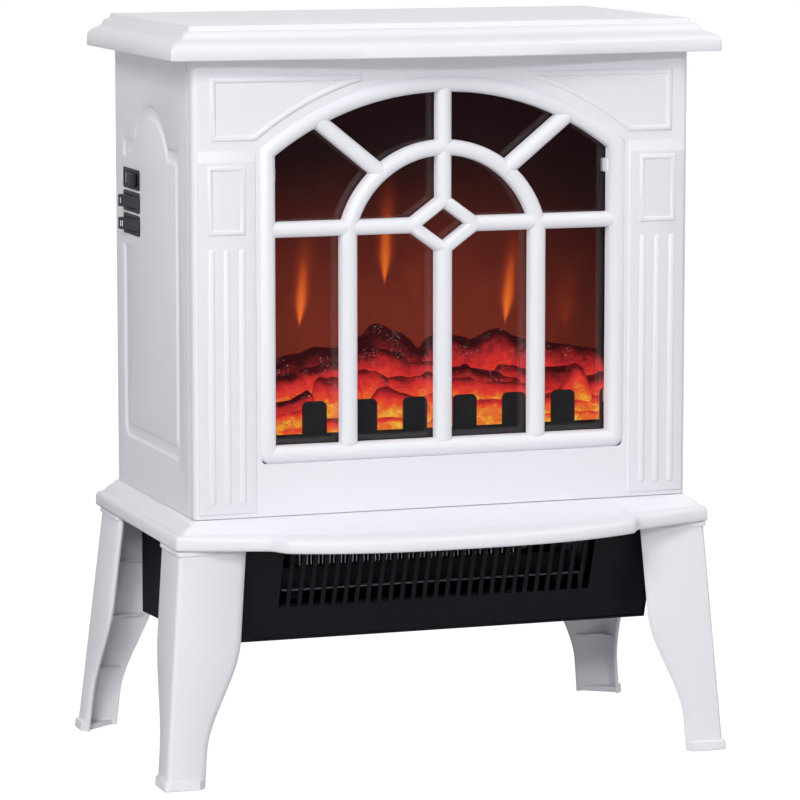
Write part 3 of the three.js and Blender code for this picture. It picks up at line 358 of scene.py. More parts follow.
WHITE = moulded_white()
BLACK_SHEET = black_sheet()
SOOT = soot_black()
CHARCOAL = dark_plastic("charcoal_plastic", (0.018, 0.023, 0.030, 1), 0.38, 0.4)
BEZEL_BLACK = dark_plastic("bezel_black", (0.013, 0.015, 0.019, 1), 0.5, 0.22)
ROCKER_GREY = dark_plastic("rocker_grey", (0.034, 0.035, 0.040, 1), 0.55, 0.2)
ZINC = bare_metal("zinc_sheet", (0.47, 0.48, 0.49, 1), 0.32)
DULL_ZINC = bare_metal("dull_zinc", (0.22, 0.23, 0.25, 1), 0.45)
FIN_METAL = bare_metal("fin_metal", (0.74, 0.75, 0.78, 1), 0.3)
ALUMINIUM = bare_metal("bright_fins", (0.74, 0.75, 0.77, 1), 0.26, (0.1, 1, 1))
BRASS = bare_metal("brass_case", (0.62, 0.47, 0.22, 1), 0.3)
GLASS = clear_glass()
BOARD = circuit_green()
EMBERS = glowing_logs()
FILM = flame_film()


# ---- making pieces
def mesh_from(name, bm):
    mesh = bpy.data.meshes.new(name)
    bm.to_mesh(mesh)
    bm.free()
    return mesh


def placed(name, data, place=(0, 0, 0), turn=(0, 0, 0)):
    """A new object of the scene."""
    made = bpy.data.objects.new(name, data)
    made.location = place
    made.rotation_euler = turn
    bpy.context.scene.collection.objects.link(made)
    return made


def finished(name, bm, finish, replaced=(), body="stove", sharp=32):
    """Turns millimetre work into a piece that rides on a body and stands for its solids."""
    bmesh.ops.remove_doubles(bm, verts=bm.verts, dist=0.001)
    bmesh.ops.scale(bm, vec=(MM, MM, MM), verts=bm.verts)
    mesh = mesh_from(name, bm)
    mesh.materials.append(finish)
    mesh.shade_smooth()
    mesh.set_sharp_from_angle(angle=math.radians(sharp))
    made = placed(name, mesh)
    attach(made, body)
    if replaced:
        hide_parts(*replaced)
    return made


def soften(made, width, segments, angle):
    """Rounds a piece's hard edges; width in millimetres."""
    bevel = made.modifiers.new("softened_edges", "BEVEL")
    bevel.width = width * MM
    bevel.segments = segments
    bevel.limit_method = "ANGLE"
    bevel.angle_limit = math.radians(angle)
    bevel.harden_normals = True


def moulded(name, bm, node, sharp=32, edge=0.0, angle=60):
    """A finished piece of the white shell."""
    made = finished(name, bm, WHITE, [node], sharp=sharp)
    if edge:
        soften(made, edge, 2, angle)


def paint(finish, name):
    """Gives a solid its finish."""
    slots = nodes[name].data.materials
    slots.clear()
    slots.append(finish)


def dress(finish, *names):
    """Gives solids their finish and takes the sharpness off their edges."""
    for name in names:
        paint(finish, name)
        weld = nodes[name].modifiers.new("weld", "WELD")
        weld.merge_threshold = 0.01 * MM
        soften(nodes[name], 0.4, 2, 45)


def outward(bm):
    """Turns every face to look out of the piece."""
    bmesh.ops.recalc_face_normals(bm, faces=bm.faces)


def face_towards(bm, way):
    """Turns the faces of an open sheet so that the sheet looks one way."""
    outward(bm)
    if sum(face.normal.dot(way) * face.calc_area() for face in bm.faces) < 0:
        bmesh.ops.reverse_faces(bm, faces=bm.faces)


def verts_in(items):
    return [item for item in items if isinstance(item, bmesh.types.BMVert)]


def edges_in(items):
    return [item for item in items if isinstance(item, bmesh.types.BMEdge)]


def rounded(bm, edges, width, segments=3):
    bmesh.ops.bevel(bm, geom=edges, offset=width, segments=segments, profile=0.5,
                    affect="EDGES", material=-1)


def round_piece(bm, verts, width, segments=3):
    """Rounds every edge of one loose piece."""
    rounded(bm, list({edge for vert in verts for edge in vert.link_edges}), width, segments)


def block(bm, low, high, edge=0.0, segments=3):
    """A box between two corners with its edges rounded."""
    size = Vector(high) - Vector(low)
    middle = (Vector(high) + Vector(low)) / 2
    new = bmesh.ops.create_cube(bm, size=1)["verts"]
    bmesh.ops.scale(bm, vec=size, verts=new)
    bmesh.ops.translate(bm, vec=middle, verts=new)
    if edge:
        round_piece(bm, new, edge, segments)
    return new


def slab(bm, outline, thick):
    """A level plate over a flat outline."""
    face = bm.faces.new([bm.verts.new(place) for place in outline])
    raised = bmesh.ops.extrude_face_region(bm, geom=[face])["geom"]
    bmesh.ops.translate(bm, vec=(0, 0, thick), verts=verts_in(raised))
    outward(bm)


def loop(bm, places):
    """A closed loop of edges through places."""
    ring = [bm.verts.new(place) for place in places]
    return [bm.edges.new(pair) for pair in zip(ring, ring[1:] + ring[:1])]


def skin(bm, rings, closed=False):
    """Covers a row of rings, and either closes its ends or joins the last ring to the first."""
    for first, second in zip(rings, rings[1:] + rings[:1] if closed else rings[1:]):
        for i in range(len(first)):
            bm.faces.new((first[i - 1], first[i], second[i], second[i - 1]))
    if not closed:
        bm.faces.new(rings[0])
        bm.faces.new(rings[-1])


def bent_on(bm, edge, centre, side, steps, push):
    """Bends a sheet round an upright corner from its edge, then draws it straight on."""
    turned = bmesh.ops.spin(bm, geom=edge, cent=(*centre, 0), axis=(0, 0, 1),
                            angle=side * math.pi / 2, steps=steps)["geom_last"]
    grown = bmesh.ops.extrude_edge_only(bm, edges=edges_in(turned))["geom"]
    bmesh.ops.translate(bm, vec=push, verts=verts_in(grown))
    bmesh.ops.remove_doubles(bm, verts=bm.verts, dist=0.001)


def stepped_sheet(columns, rows, levels, place):
    """A closed body: a flat sheet whose rim is drawn out through levels. Place gives each point from
    its share across, its share towards the back and the level."""
    bm = bmesh.new()
    bmesh.ops.create_grid(bm, x_segments=columns, y_segments=rows, size=1)
    across = bm.verts.layers.float.new("across")
    back = bm.verts.layers.float.new("back")
    for vert in bm.verts:
        vert[across] = vert.co.x
        vert[back] = (vert.co.y + 1) / 2
        vert.co = place(vert[across], vert[back], levels[0])
    rim = [edge for edge in bm.edges if edge.is_boundary]
    for level in levels[1:]:
        grown = bmesh.ops.extrude_edge_only(bm, edges=rim)["geom"]
        for vert in verts_in(grown):
            vert.co = place(vert[across], vert[back], level)
        rim = [edge for edge in edges_in(grown) if edge.is_boundary]
    bmesh.ops.edgeloop_fill(bm, edges=rim)
    outward(bm)
    return bm


def round_corners(bm, is_corner, radius):
    """Rounds the edges that run down a sheet's upright corners."""
    edges = [edge for edge in bm.edges if all(is_corner(vert.co) for vert in edge.verts)]
    rounded(bm, edges, radius, 4)


def arc(centre, radius, start, stop, steps):
    """Points on an arc, angles in degrees."""
    for i in range(steps + 1):
        angle = math.radians(start + (stop - start) * i / steps)
        yield centre[0] + radius * math.cos(angle), centre[1] + radius * math.sin(angle)


def smoothstep(low, high, value):
    t = min(max((value - low) / (high - low), 0), 1)
    return t * t * (3 - 2 * t)


# ---- camera and stage
def camera():
    lens = bpy.data.cameras.new("camera")
    lens.lens = 189.83
    lens.sensor_width = 36
    lens.clip_end = 20
    down, aside = math.radians(7.89), math.radians(19.118)
    turn = (math.pi / 2 - down, 0, -aside)
    bpy.context.scene.camera = placed("camera", lens, (-1.00576, -2.88175, 0.67902), turn)


def lamp(name, place, aim, size, power):
    light = bpy.data.lights.new(name, "AREA")
    light.shape = "RECTANGLE"
    light.size, light.size_y = size
    light.energy = power
    turn = (Vector(aim) - Vector(place)).to_track_quat("-Z", "Y").to_euler()
    placed(name, light, place, turn)


def seen_share(finish):
    """One for rays from the eye, from mirrors and through glass, and zero for the rest."""
    direct = finish.maths("MAXIMUM", finish.ray("Glossy"), finish.ray("Transmission"))
    return finish.maths("MAXIMUM", finish.ray("Camera"), direct)


def white_world(strength):
    """Even pale light all round that looks plain white wherever it is seen."""
    world = bpy.data.worlds.new("studio")
    world.use_nodes = True
    finish = Finish("world", world.node_tree)
    pale = (0.98, 0.985, 1, 1)
    ambient = finish.node("Background", {"Color": pale, "Strength": strength})
    white = finish.node("Background", {"Color": grey(1), "Strength": 1})
    both = finish.node("MixShader", {0: seen_share(finish), 1: ambient, 2: white})
    finish.node("OutputWorld", {"Surface": both})
    return world


def stage_sheet(name, size, finish, shader, **place):
    """A flat sheet of the stage."""
    bm = bmesh.new()
    bmesh.ops.create_grid(bm, x_segments=1, y_segments=1, size=0.5)
    bmesh.ops.scale(bm, vec=(*size, 1), verts=bm.verts)
    made = placed(name, mesh_from(name, bm), **place)
    made.data.materials.append(finish.close(shader))
    return made


LAMPS = [
    # name, place, aim, size, power
    ("key_light", (-1.6, -2.1, 2.05), (0, 0, 0.35), (0.8, 0.8), 38),
    ("low_light", (-3.0, -6.3, 2.7), (0, 0, 0.3), (2.4, 0.6), 143),
    ("top_light", (1.6, -0.7, 2.3), (0, 0, 0.4), (1.2, 1.2), 19),
]


def studio():
    scene = bpy.context.scene
    scene.view_settings.view_transform = "Standard"
    scene.world = white_world(strength=0.29)
    for row in LAMPS:
        lamp(*row)

    finish = Finish("studio_floor")
    eye = finish.ray("Camera")
    lit = finish.node("BsdfDiffuse", {"Color": finish.blend(eye, grey(0.7), grey(0.9))})
    white = finish.node("Emission", {"Color": grey(1), "Strength": 1.24})
    both = finish.node("MixShader", {0: eye * 0.78, 1: lit, 2: white})
    stage_sheet("floor", (12, 12), finish, both)

    # A dark card seen only in reflections: it paints a dark reflection into the glass and the gloss,
    # without blocking any light.
    finish = Finish("flag_cloth")
    cloth = finish.node("BsdfDiffuse", {"Color": grey(0.012)})
    flag = stage_sheet("black_flag", (0.7, 0.46), finish, cloth,
                       place=(0.5, -1.5, 0.25), turn=(math.pi / 2, 0, 0))
    for kind in ("camera", "diffuse", "transmission", "shadow"):
        setattr(flag, f"visible_{kind}", False)


camera()
studio()


# ---- top cap
def cap_place(across, back, level):
    """A point of the lid: its moulding runs round the sides and front, and its back is flat."""
    inset, z = level
    half = CAP["half"] - inset
    bow = CAP["bow"] * (1 - 0.8 * min(inset, CAP["panel"]) / CAP["panel"])
    front = CAP["front"] + inset - bow * math.cos(math.pi * across / 2) ** 2
    rear = CAP["back"] - (min(inset, 0.3) if z > LID_BASE else inset)
    return Vector((half * across, front + (rear - front) * back, z))


def top_cap():
    """Moulded lid: flat panel, cove, ovolo and upright rim, with its underside closed."""
    rise = (HEIGHT - LID_BASE) / 23
    panel = CAP["panel"]
    profile = [(panel + 1.9, 23), (panel + 1.1, 22.8), (panel + 0.7, 22.2), (panel + 0.3, 19.8),
               (panel - 0.1, 19.35), (14.4, 19.15), (13.4, 18.75), (12.6, 17.9), (11.7, 16.4),
               (10.5, 14.9), (8.9, 13.85), (6.9, 13.2), (5.1, 12.55), (3.5, 11.75), (2.1, 10.7),
               (1, 9.5), (0.4, 8.4), (0.15, 7.4), (0, 0.7), (0.25, 0.2), (0.8, 0), (28, 0)]
    bm = stepped_sheet(48, 2, [(inset, LID_BASE + up * rise) for inset, up in profile], cap_place)
    corner = CAP["half"] - panel - 3

    def at_corner(co):
        inset = CAP["half"] - abs(co.x)
        return abs(co.x) > corner and abs(CAP["front"] + inset - co.y) < 0.05

    round_corners(bm, at_corner, 2.2)
    moulded("lid", bm, "top_cap", 38, 0.5, 75)


# ---- hearth
def hearth_front(x):
    away = abs(x)
    bowed = FRONT - HEARTH_REACH + 21.5 * (away / 130) ** 2.7
    skirt = PLINTH["corner"] - 0.32 * (PLINTH["half"] - away)
    blend = smoothstep(129.5, 141, away)
    return bowed * (1 - blend) + skirt * blend


def plinth_place(across, back, level):
    share, z, inset = level
    outer = PLINTH["half"] * across
    inner = BODY_HALF * across
    half = inner + (outer - inner) * share
    front = FRONT + (hearth_front(outer) - FRONT) * share + inset
    rear = BODY_BACK + (PLINTH["back"] - BODY_BACK) * share - inset
    return Vector((half * (1 - inset / PLINTH["half"]), front + (rear - front) * back, z))


def base_plinth():
    """Bowed hearth shelf that steps down into an upright rim, hollow underneath."""
    drops = [(0, 0), (0.25, 2.8), (0.46, 5.2), (0.55, 6.5), (0.62, 7.9), (0.66, 8.5), (0.72, 8.85),
             (0.8, 9), (0.86, 9.2), (0.92, 9.8), (0.96, 10.7), (0.985, 12), (0.997, 13.6), (1, 17.6)]
    levels = [(share, BODY_BASE - down, 0) for share, down in drops]
    levels += [(1, BODY_BASE - 18.9, 0.35), (1, BODY_BASE - 19.7, 1), (1, PLINTH["base"], 2),
               (1, PLINTH["base"], 3), (1, 176, 3.4), (0.93, 178.4, 3.6),
               (0.7, 180, 3.8), (0.2, 184.9, 4), (0.15, 185.2, 4)]
    bm = stepped_sheet(160, 2, levels, plinth_place)

    def at_corner(co):
        share = (abs(co.x) - BODY_HALF) / (PLINTH["half"] - BODY_HALF)
        front = FRONT + (PLINTH["corner"] - FRONT) * share
        rear = BODY_BACK + (PLINTH["back"] - BODY_BACK) * share
        outside = abs(co.x) > BODY_HALF + 3 and (co.y > BODY_BACK + 1 or co.y < FRONT - 1)
        return outside and min(abs(co.y - front), abs(co.y - rear)) < 0.05

    round_corners(bm, at_corner, 1.8)
    moulded("hearth", bm, "base_plinth", 38)


# ---- legs
def leg_walls(end, z):
    """Widths of a leg's two walls, which narrow in one long curve towards the foot."""
    feet = [FOOT["front_width"]] * 2 if end < 0 else [FOOT["rear_width"], FOOT["rear_depth"]]
    return [foot + (LEG["width"] - foot) * smoothstep(25, 103, z) for foot in feet]


def in_leg(side, end, z, section):
    """Places of a level section that is given inwards from a leg's outer corner."""
    down = 1 - z / LEG["top"]
    top, foot, half = LEG["front"], FOOT["front"], FOOT["front_half"]
    if end > 0:
        top, foot, half = LEG["back"], FOOT["back"], FOOT["back_half"]
    corner_x = LEG["half"] + (half - LEG["half"]) * down
    corner_y = top + (foot - top) * down
    return [(side * (corner_x - a), corner_y - end * b, z) for a, b in section]


def leg_section(grow, width, depth):
    """Corner section of a leg from its outer corner: two walls whose far edges fall away a little."""
    def far_edge(reach):
        return [(reach - LEG_EDGE["run"], -grow), (reach - 1.2, LEG_EDGE["fall"] * 0.7),
                (reach, LEG_EDGE["fall"] * 1.4), (reach - 0.8, LEG_EDGE["fall"] + WALL - 0.6),
                (reach - LEG_EDGE["run"], WALL)]

    turned = [(b, a) for a, b in reversed(far_edge(depth))]
    return [(-grow, -grow)] + far_edge(width) + [(WALL, WALL)] + turned


def leg(name, side, end):
    """Moulded corner leg: flared foot, collars at both ends, and ribs, a foot floor and a screw plate
    inside the corner."""
    bm = bmesh.new()
    low, high = 7.6, LEG["top"] - 3.4
    steps = [(0, 1.5), (0.5, 1.95), (6.2, 1.95), (6.6, 1.8), (low, 0)]
    steps += [(low + (high - low) * i / 30, 0) for i in range(1, 31)]
    steps += [(LEG["top"] - 3, 1.5), (LEG["top"], 1.5)]

    rings = []
    for z, grow in steps:
        section = leg_section(grow, *leg_walls(end, z))
        rings.append([bm.verts.new(place) for place in in_leg(side, end, z, section)])
    skin(bm, rings)
    outward(bm)
    outside, inside = 0, 6
    for corner, radius in ((outside, 3.2), (inside, 3.5)):
        edges = [bm.edges.get((first[corner], second[corner]))
                 for first, second in zip(rings, rings[1:])]
        rounded(bm, edges, radius, 5)
    for z in LEG_RIBS:
        across, deep = leg_walls(end, z)
        slab(bm, in_leg(side, end, z, rib_outline(across - 5, deep - 5)), RIB_THICK)
    across, deep = (wall - 3 for wall in leg_walls(end, 0))
    floor = [(1.5, 1.5), (across, 1.5), (across, WALL), (WALL, deep), (1.5, deep)]
    slab(bm, in_leg(side, end, 0.2, floor), FLOOR_THICK)
    screw_plate = [(1.5, 1.5), (30, 1.5), (30, 26), (26, 30), (1.5, 30)]
    slab(bm, in_leg(side, end, LEG["top"] - 3, screw_plate), SCREW_PLATE_THICK)
    moulded(f"{name}_moulding", bm, f"{name}_leg", 35, 0.4)


def rib_outline(across, deep):
    """A rib that follows both walls inside the corner and fades out before their free edges."""
    full, thin, run = 7.5, WALL + 0.5, 7
    return [(1.5, 1.5), (across, 1.5), (across, thin), (across - run, full), (full, full),
            (full, deep - run), (thin, deep), (1.5, deep)]


# ---- front panel
def window_outline(grow, corner, lower, steps=40):
    """Outline of the window opening in X and Z, grown by a margin, with its lower corners rounded
    and its sill lower."""
    half = WINDOW["half"] + grow
    sill = WINDOW["sill"] - grow - lower
    radius = WINDOW["radius"] + grow
    spring = math.degrees(math.asin(half / radius))
    points = list(arc((half - corner, sill + corner), corner, -90, 0, 6))
    points += list(arc((0, ARCH_CENTRE), radius, 90 - spring, 90 + spring, steps))
    points += list(arc((-half + corner, sill + corner), corner, 180, 270, 6))
    return points


def bead(bm, path, y, width, height):
    """A rounded ridge along a closed path on the front face; its lower half is sunk in the face."""
    sweep(bm, path, half_round(width / 2, height, 0.4, 8), closed=True, seat=y)


def spandrel_path(side):
    """Middle of the ridge around the field between the arch and the capital."""
    inset = 2.15
    outer, bottom, top = 173.4 - inset, 454.5 + inset, 499.4 - inset
    radius = 224.8 + inset
    low = math.degrees(math.asin((bottom - ARCH_CENTRE) / radius))
    tip = 66
    high = math.degrees(math.acos(tip / radius))
    points = [(outer, top), (outer, bottom)] + list(arc((0, ARCH_CENTRE), radius, low, high, 16))
    points += [(tip - 2.2, top - 0.9), (tip - 2.4, top - 0.3), (tip, top)]
    return [(side * x, z) for x, z in points]


def rib(bm, x, low, high, half, rise, y):
    """A half-round rib with domed ends."""
    new = bmesh.ops.create_uvsphere(bm, u_segments=16, v_segments=8, radius=half)["verts"]
    for vert in new:
        vert.co.z += (high - half) if vert.co.z > 0 else (low + half)
    bmesh.ops.scale(bm, vec=(1, rise / half, 1), verts=new)
    bmesh.ops.translate(bm, vec=(x, y, 0), verts=new)


def front_panel():
    """Front sheet with the window opening, turned back round both sides, and its raised mouldings."""
    bm = bmesh.new()
    low, high = BODY_BASE + GAP, LID_BASE - GAP
    corner = 4.5
    flat = BODY_HALF - corner
    edges = []
    for outline in ([(-flat, low), (flat, low), (flat, high), (-flat, high)],
                    window_outline(BAR_HALF * 2 - 1.6, 3, 1.1)):
        edges += loop(bm, [(x, FRONT, z) for x, z in outline])
    bmesh.ops.triangle_fill(bm, use_beauty=True, edges=edges, normal=(0, -1, 0))
    for side in (-1, 1):
        edge = [e for e in bm.edges if all(abs(v.co.x - side * flat) < 0.01 for v in e.verts)]
        bent_on(bm, edge, (side * flat, FRONT + corner), side, 8, (0, RETURN_DEPTH - corner, 0))
    face_towards(bm, (0, -1, 0))
    bmesh.ops.solidify(bm, geom=bm.faces, thickness=WALL)
    moulded("front_moulding", bm, "front_panel", 35, 0.7)

    trim = bmesh.new()
    for side in (-1, 1):
        pilaster(trim, side)
        bead(trim, spandrel_path(side), FRONT, 4.1, 1.3)
    outward(trim)
    moulded("front_mouldings", trim, "front_panel", 38)


def pilaster(bm, side):
    """Raised strip at the panel's edge, sloped at its top, with three ribs and a bead rectangle."""
    x = side * PILASTER
    face = FRONT - 1.3
    inner, outer, low, high = 139, BODY_HALF - 3.2, 192.5, 448.2
    near, far = sorted((side * inner, side * outer))
    raised = block(bm, (near, face, low), (far, FRONT + 1.5, high))
    for vert in raised:
        proud = vert.co.y < FRONT
        if vert.co.z > 400:
            vert.co.z += -8 if proud else 9.2
        if proud and abs(vert.co.x) < 150:
            vert.co.x += side * 2
    round_piece(bm, raised, 0.7)
    rectangle = [(x - 12, 391), (x + 12, 391), (x + 12, 436), (x - 12, 436)]
    bead(bm, rectangle, face, 3.6, 1.25)
    for offset in (-11.2, 0, 11.2):
        rib(bm, x + offset, 199, 379.5, 2.5, 1.35, face + 0.1)


# ---- window lattice
def half_round(half, crown, back, steps=10):
    section = [(half, -back), (-half, -back)]
    for i in range(steps + 1):
        angle = math.pi * (1 - i / steps)
        section.append((half * math.cos(angle), crown * math.sin(angle)))
    return section


def sweep(bm, path, section, closed=False, seat=BAR_SEAT, swell=None):
    """Carries a bar's section along a path in X and Z, mitred where the path turns; swell scales
    its height."""
    last = len(path) - 1
    rings = []
    for i, (x, z) in enumerate(path):
        here = Vector((x, z))
        before = Vector(path[i - 1]) if closed or i > 0 else here
        after = Vector(path[(i + 1) % len(path)]) if closed or i < last else here
        arrive = (here - before).normalized()
        leave = (after - here).normalized()
        along = (arrive + leave).normalized()
        side = Vector((-along.y, along.x))
        reference = arrive if arrive.length > 0 else leave
        side /= abs(side.dot(Vector((-reference.y, reference.x))))
        high = swell[i] if swell else 1
        rings.append([bm.verts.new((x + side.x * across, seat - out * high, z + side.y * across))
                      for across, out in section])
    skin(bm, rings, closed)


def lattice():
    """Window frame and its tracery of round-faced bars, each running into the next."""
    bm = bmesh.new()
    half = WINDOW["half"] + BAR_HALF
    sill = WINDOW["sill"] - BAR_HALF
    radius = WINDOW["radius"] + BAR_HALF
    corner = 2.4
    spring = math.degrees(math.acos(half / radius))
    outer = list(arc((-half + corner, sill + corner), corner, 180, 270, 4))
    outer += arc((half - corner, sill + corner), corner, 270, 360, 4)
    outer += arc((0, ARCH_CENTRE), radius, spring, 180 - spring, 48)
    sweep(bm, outer, half_round(BAR_HALF, 5.8, 5.5), closed=True)
    thin = half_round(5.5, 5, 5)
    stout = half_round(6.1, 5.2, 5)
    across, under, over = 24, TRANSOM - 17.5, TRANSOM + 17.5
    for x, top in ((-MULLION, TRANSOM), (0, under), (MULLION, TRANSOM)):
        sweep(bm, [(x, sill), (x, sill + 3), (x, sill + 5.5), (x, sill + 8), (x, top)], stout,
              swell=[0.3, 0.66, 0.92, 1, 1])
    sweep(bm, [(0, over), (0, WINDOW["crown"] + BAR_HALF)], thin)
    for side in (-1, 1):
        sweep(bm, [(side * across, TRANSOM), (side * half, TRANSOM)], thin)
    rhombus = [(0, under), (across, TRANSOM), (0, over), (-across, TRANSOM)]
    sweep(bm, rhombus, half_round(4.6, 4.9, 4.8), closed=True)
    rise = 54.8
    inner_radius = (MULLION ** 2 + rise ** 2) / (2 * rise)
    inner_centre = TRANSOM + rise - inner_radius
    start = math.degrees(math.asin((TRANSOM - inner_centre) / inner_radius))
    inner_arch = list(arc((0, inner_centre), inner_radius, start, 180 - start, 40))
    sweep(bm, inner_arch, half_round(5.6, 5.1, 4.9))
    for angle in (math.radians(39), math.radians(141)):
        at = [(reach * math.cos(angle), TRANSOM + reach * math.sin(angle))
              for reach in (circle_reach(angle, inner_centre, inner_radius) - 2,
                            circle_reach(angle, ARCH_CENTRE, radius))]
        sweep(bm, at, half_round(5.6, 5.3, 5))
    outward(bm)
    moulded("window_lattice", bm, "window_grille", 50)


def circle_reach(angle, centre, radius):
    """How far a ray from the middle of the transom runs to a circle on the window's axis."""
    rise = TRANSOM - centre
    b = rise * math.sin(angle)
    return -b + math.sqrt(b * b - rise * rise + radius * radius)


# ---- side panels
SIDE_MIDDLE = FRONT + 107.9


def side_outline(share):
    """Arch-topped outline on a side, in Y and Z: the groove's outer edge at zero, its inner edge
    at one."""
    def between(outer, inner):
        return outer + (inner - outer) * share

    half = between(73.4, 63.9)
    bottom, shoulder = between(225, 237), between(446.8, 435.4)
    arch_half, peak = between(44.9, 42), between(474.3, 463)
    low_corner, high_corner = between(9, 5), between(4, 4.5)
    rise = peak - shoulder
    radius = (arch_half ** 2 + rise ** 2) / (2 * rise)
    start = math.degrees(math.acos(arch_half / radius))
    right = SIDE_MIDDLE + half
    left = SIDE_MIDDLE - half
    points = list(arc((left + low_corner, bottom + low_corner), low_corner, 180, 270, 5))
    points += arc((right - low_corner, bottom + low_corner), low_corner, 270, 360, 5)
    points += arc((right - high_corner, shoulder - high_corner), high_corner, 0, 90, 3)
    points += arc((SIDE_MIDDLE, peak - radius), radius, start, 180 - start, 22)
    points += arc((left + high_corner, shoulder - high_corner), high_corner, 90, 180, 3)
    return points


def side_panel(name, side):
    """Side sheet with a shallow groove around an arch-topped field."""
    bm = bmesh.new()
    x = side * BODY_HALF
    low, high = BODY_BASE + GAP, LID_BASE - GAP
    front, back = FRONT + RETURN_DEPTH + GAP, BODY_BACK
    corner = 3

    def ring(points, sunk=0.0):
        return loop(bm, [(x - side * sunk, y, z) for y, z in points])

    sheet = ring([(front, low), (back - corner, low), (back - corner, high), (front, high)])
    groove = ring(side_outline(0))
    bmesh.ops.triangle_fill(bm, use_beauty=True, edges=sheet + groove, normal=(side, 0, 0))
    for share, sunk in ((0.05, 0.12), (0.2, 1.15), (0.25, 1.3), (0.75, 1.3), (0.8, 1.15),
                        (0.95, 0.12), (1, 0)):
        inner = ring(side_outline(share), sunk)
        bmesh.ops.bridge_loops(bm, edges=groove + inner)
        groove = inner
    bmesh.ops.edgeloop_fill(bm, edges=groove)
    edge = [e for e in bm.edges if all(abs(v.co.y - back + corner) < 0.01 for v in e.verts)]
    bent_on(bm, edge, (x - side * corner, back - corner), side, 5, (-side * 1.2, 0, 0))
    face_towards(bm, (side, 0, 0))
    if side < 0:
        clear_for_switches(bm)
    bmesh.ops.solidify(bm, geom=bm.faces, thickness=2.4)
    if side < 0:
        switch_plate(bm)
    moulded(f"{name}_side", bm, f"{name}_side_panel", 35, 0.6)


def switch_height(row):
    return SWITCH["top"] - row * SWITCH["pitch"]


PLATE = {"front": FRONT + 136, "back": FRONT + 187, "low": 368, "high": 432.5}


def clear_for_switches(bm):
    """Takes out the part of the side that the switch plate fills."""
    for along, ends in ((Vector((0, 1, 0)), ("front", "back")), (Vector((0, 0, 1)), ("low", "high"))):
        for end in ends:
            bmesh.ops.bisect_plane(bm, geom=bm.verts[:] + bm.edges[:] + bm.faces[:], dist=0.0001,
                                   plane_co=along * PLATE[end], plane_no=along)
    inside = []
    for face in bm.faces:
        middle = face.calc_center_median()
        if PLATE["front"] < middle.y < PLATE["back"] and PLATE["low"] < middle.z < PLATE["high"]:
            inside.append(face)
    bmesh.ops.delete(bm, geom=inside, context="FACES")


def switch_plate(bm):
    """Flat plate with an opening for each switch; it crosses the groove."""
    boxes = [(PLATE["front"], PLATE["back"], PLATE["low"], PLATE["high"])]
    for row in range(3):
        z = switch_height(row)
        boxes.append((SWITCH["y"] - 16.8, SWITCH["y"] + 16.8, z - 6, z + 6))
    edges = []
    for front, back, low, high in boxes:
        outline = [(front, low), (back, low), (back, high), (front, high)]
        edges += loop(bm, [(-BODY_HALF - 0.1, y, z) for y, z in outline])
    filled = bmesh.ops.triangle_fill(bm, use_beauty=True, edges=edges, normal=(-1, 0, 0))["geom"]
    faces = [item for item in filled if isinstance(item, bmesh.types.BMFace)]
    for face in faces:
        if face.normal.x > 0:
            face.normal_flip()
    bmesh.ops.solidify(bm, geom=faces, thickness=2.6)


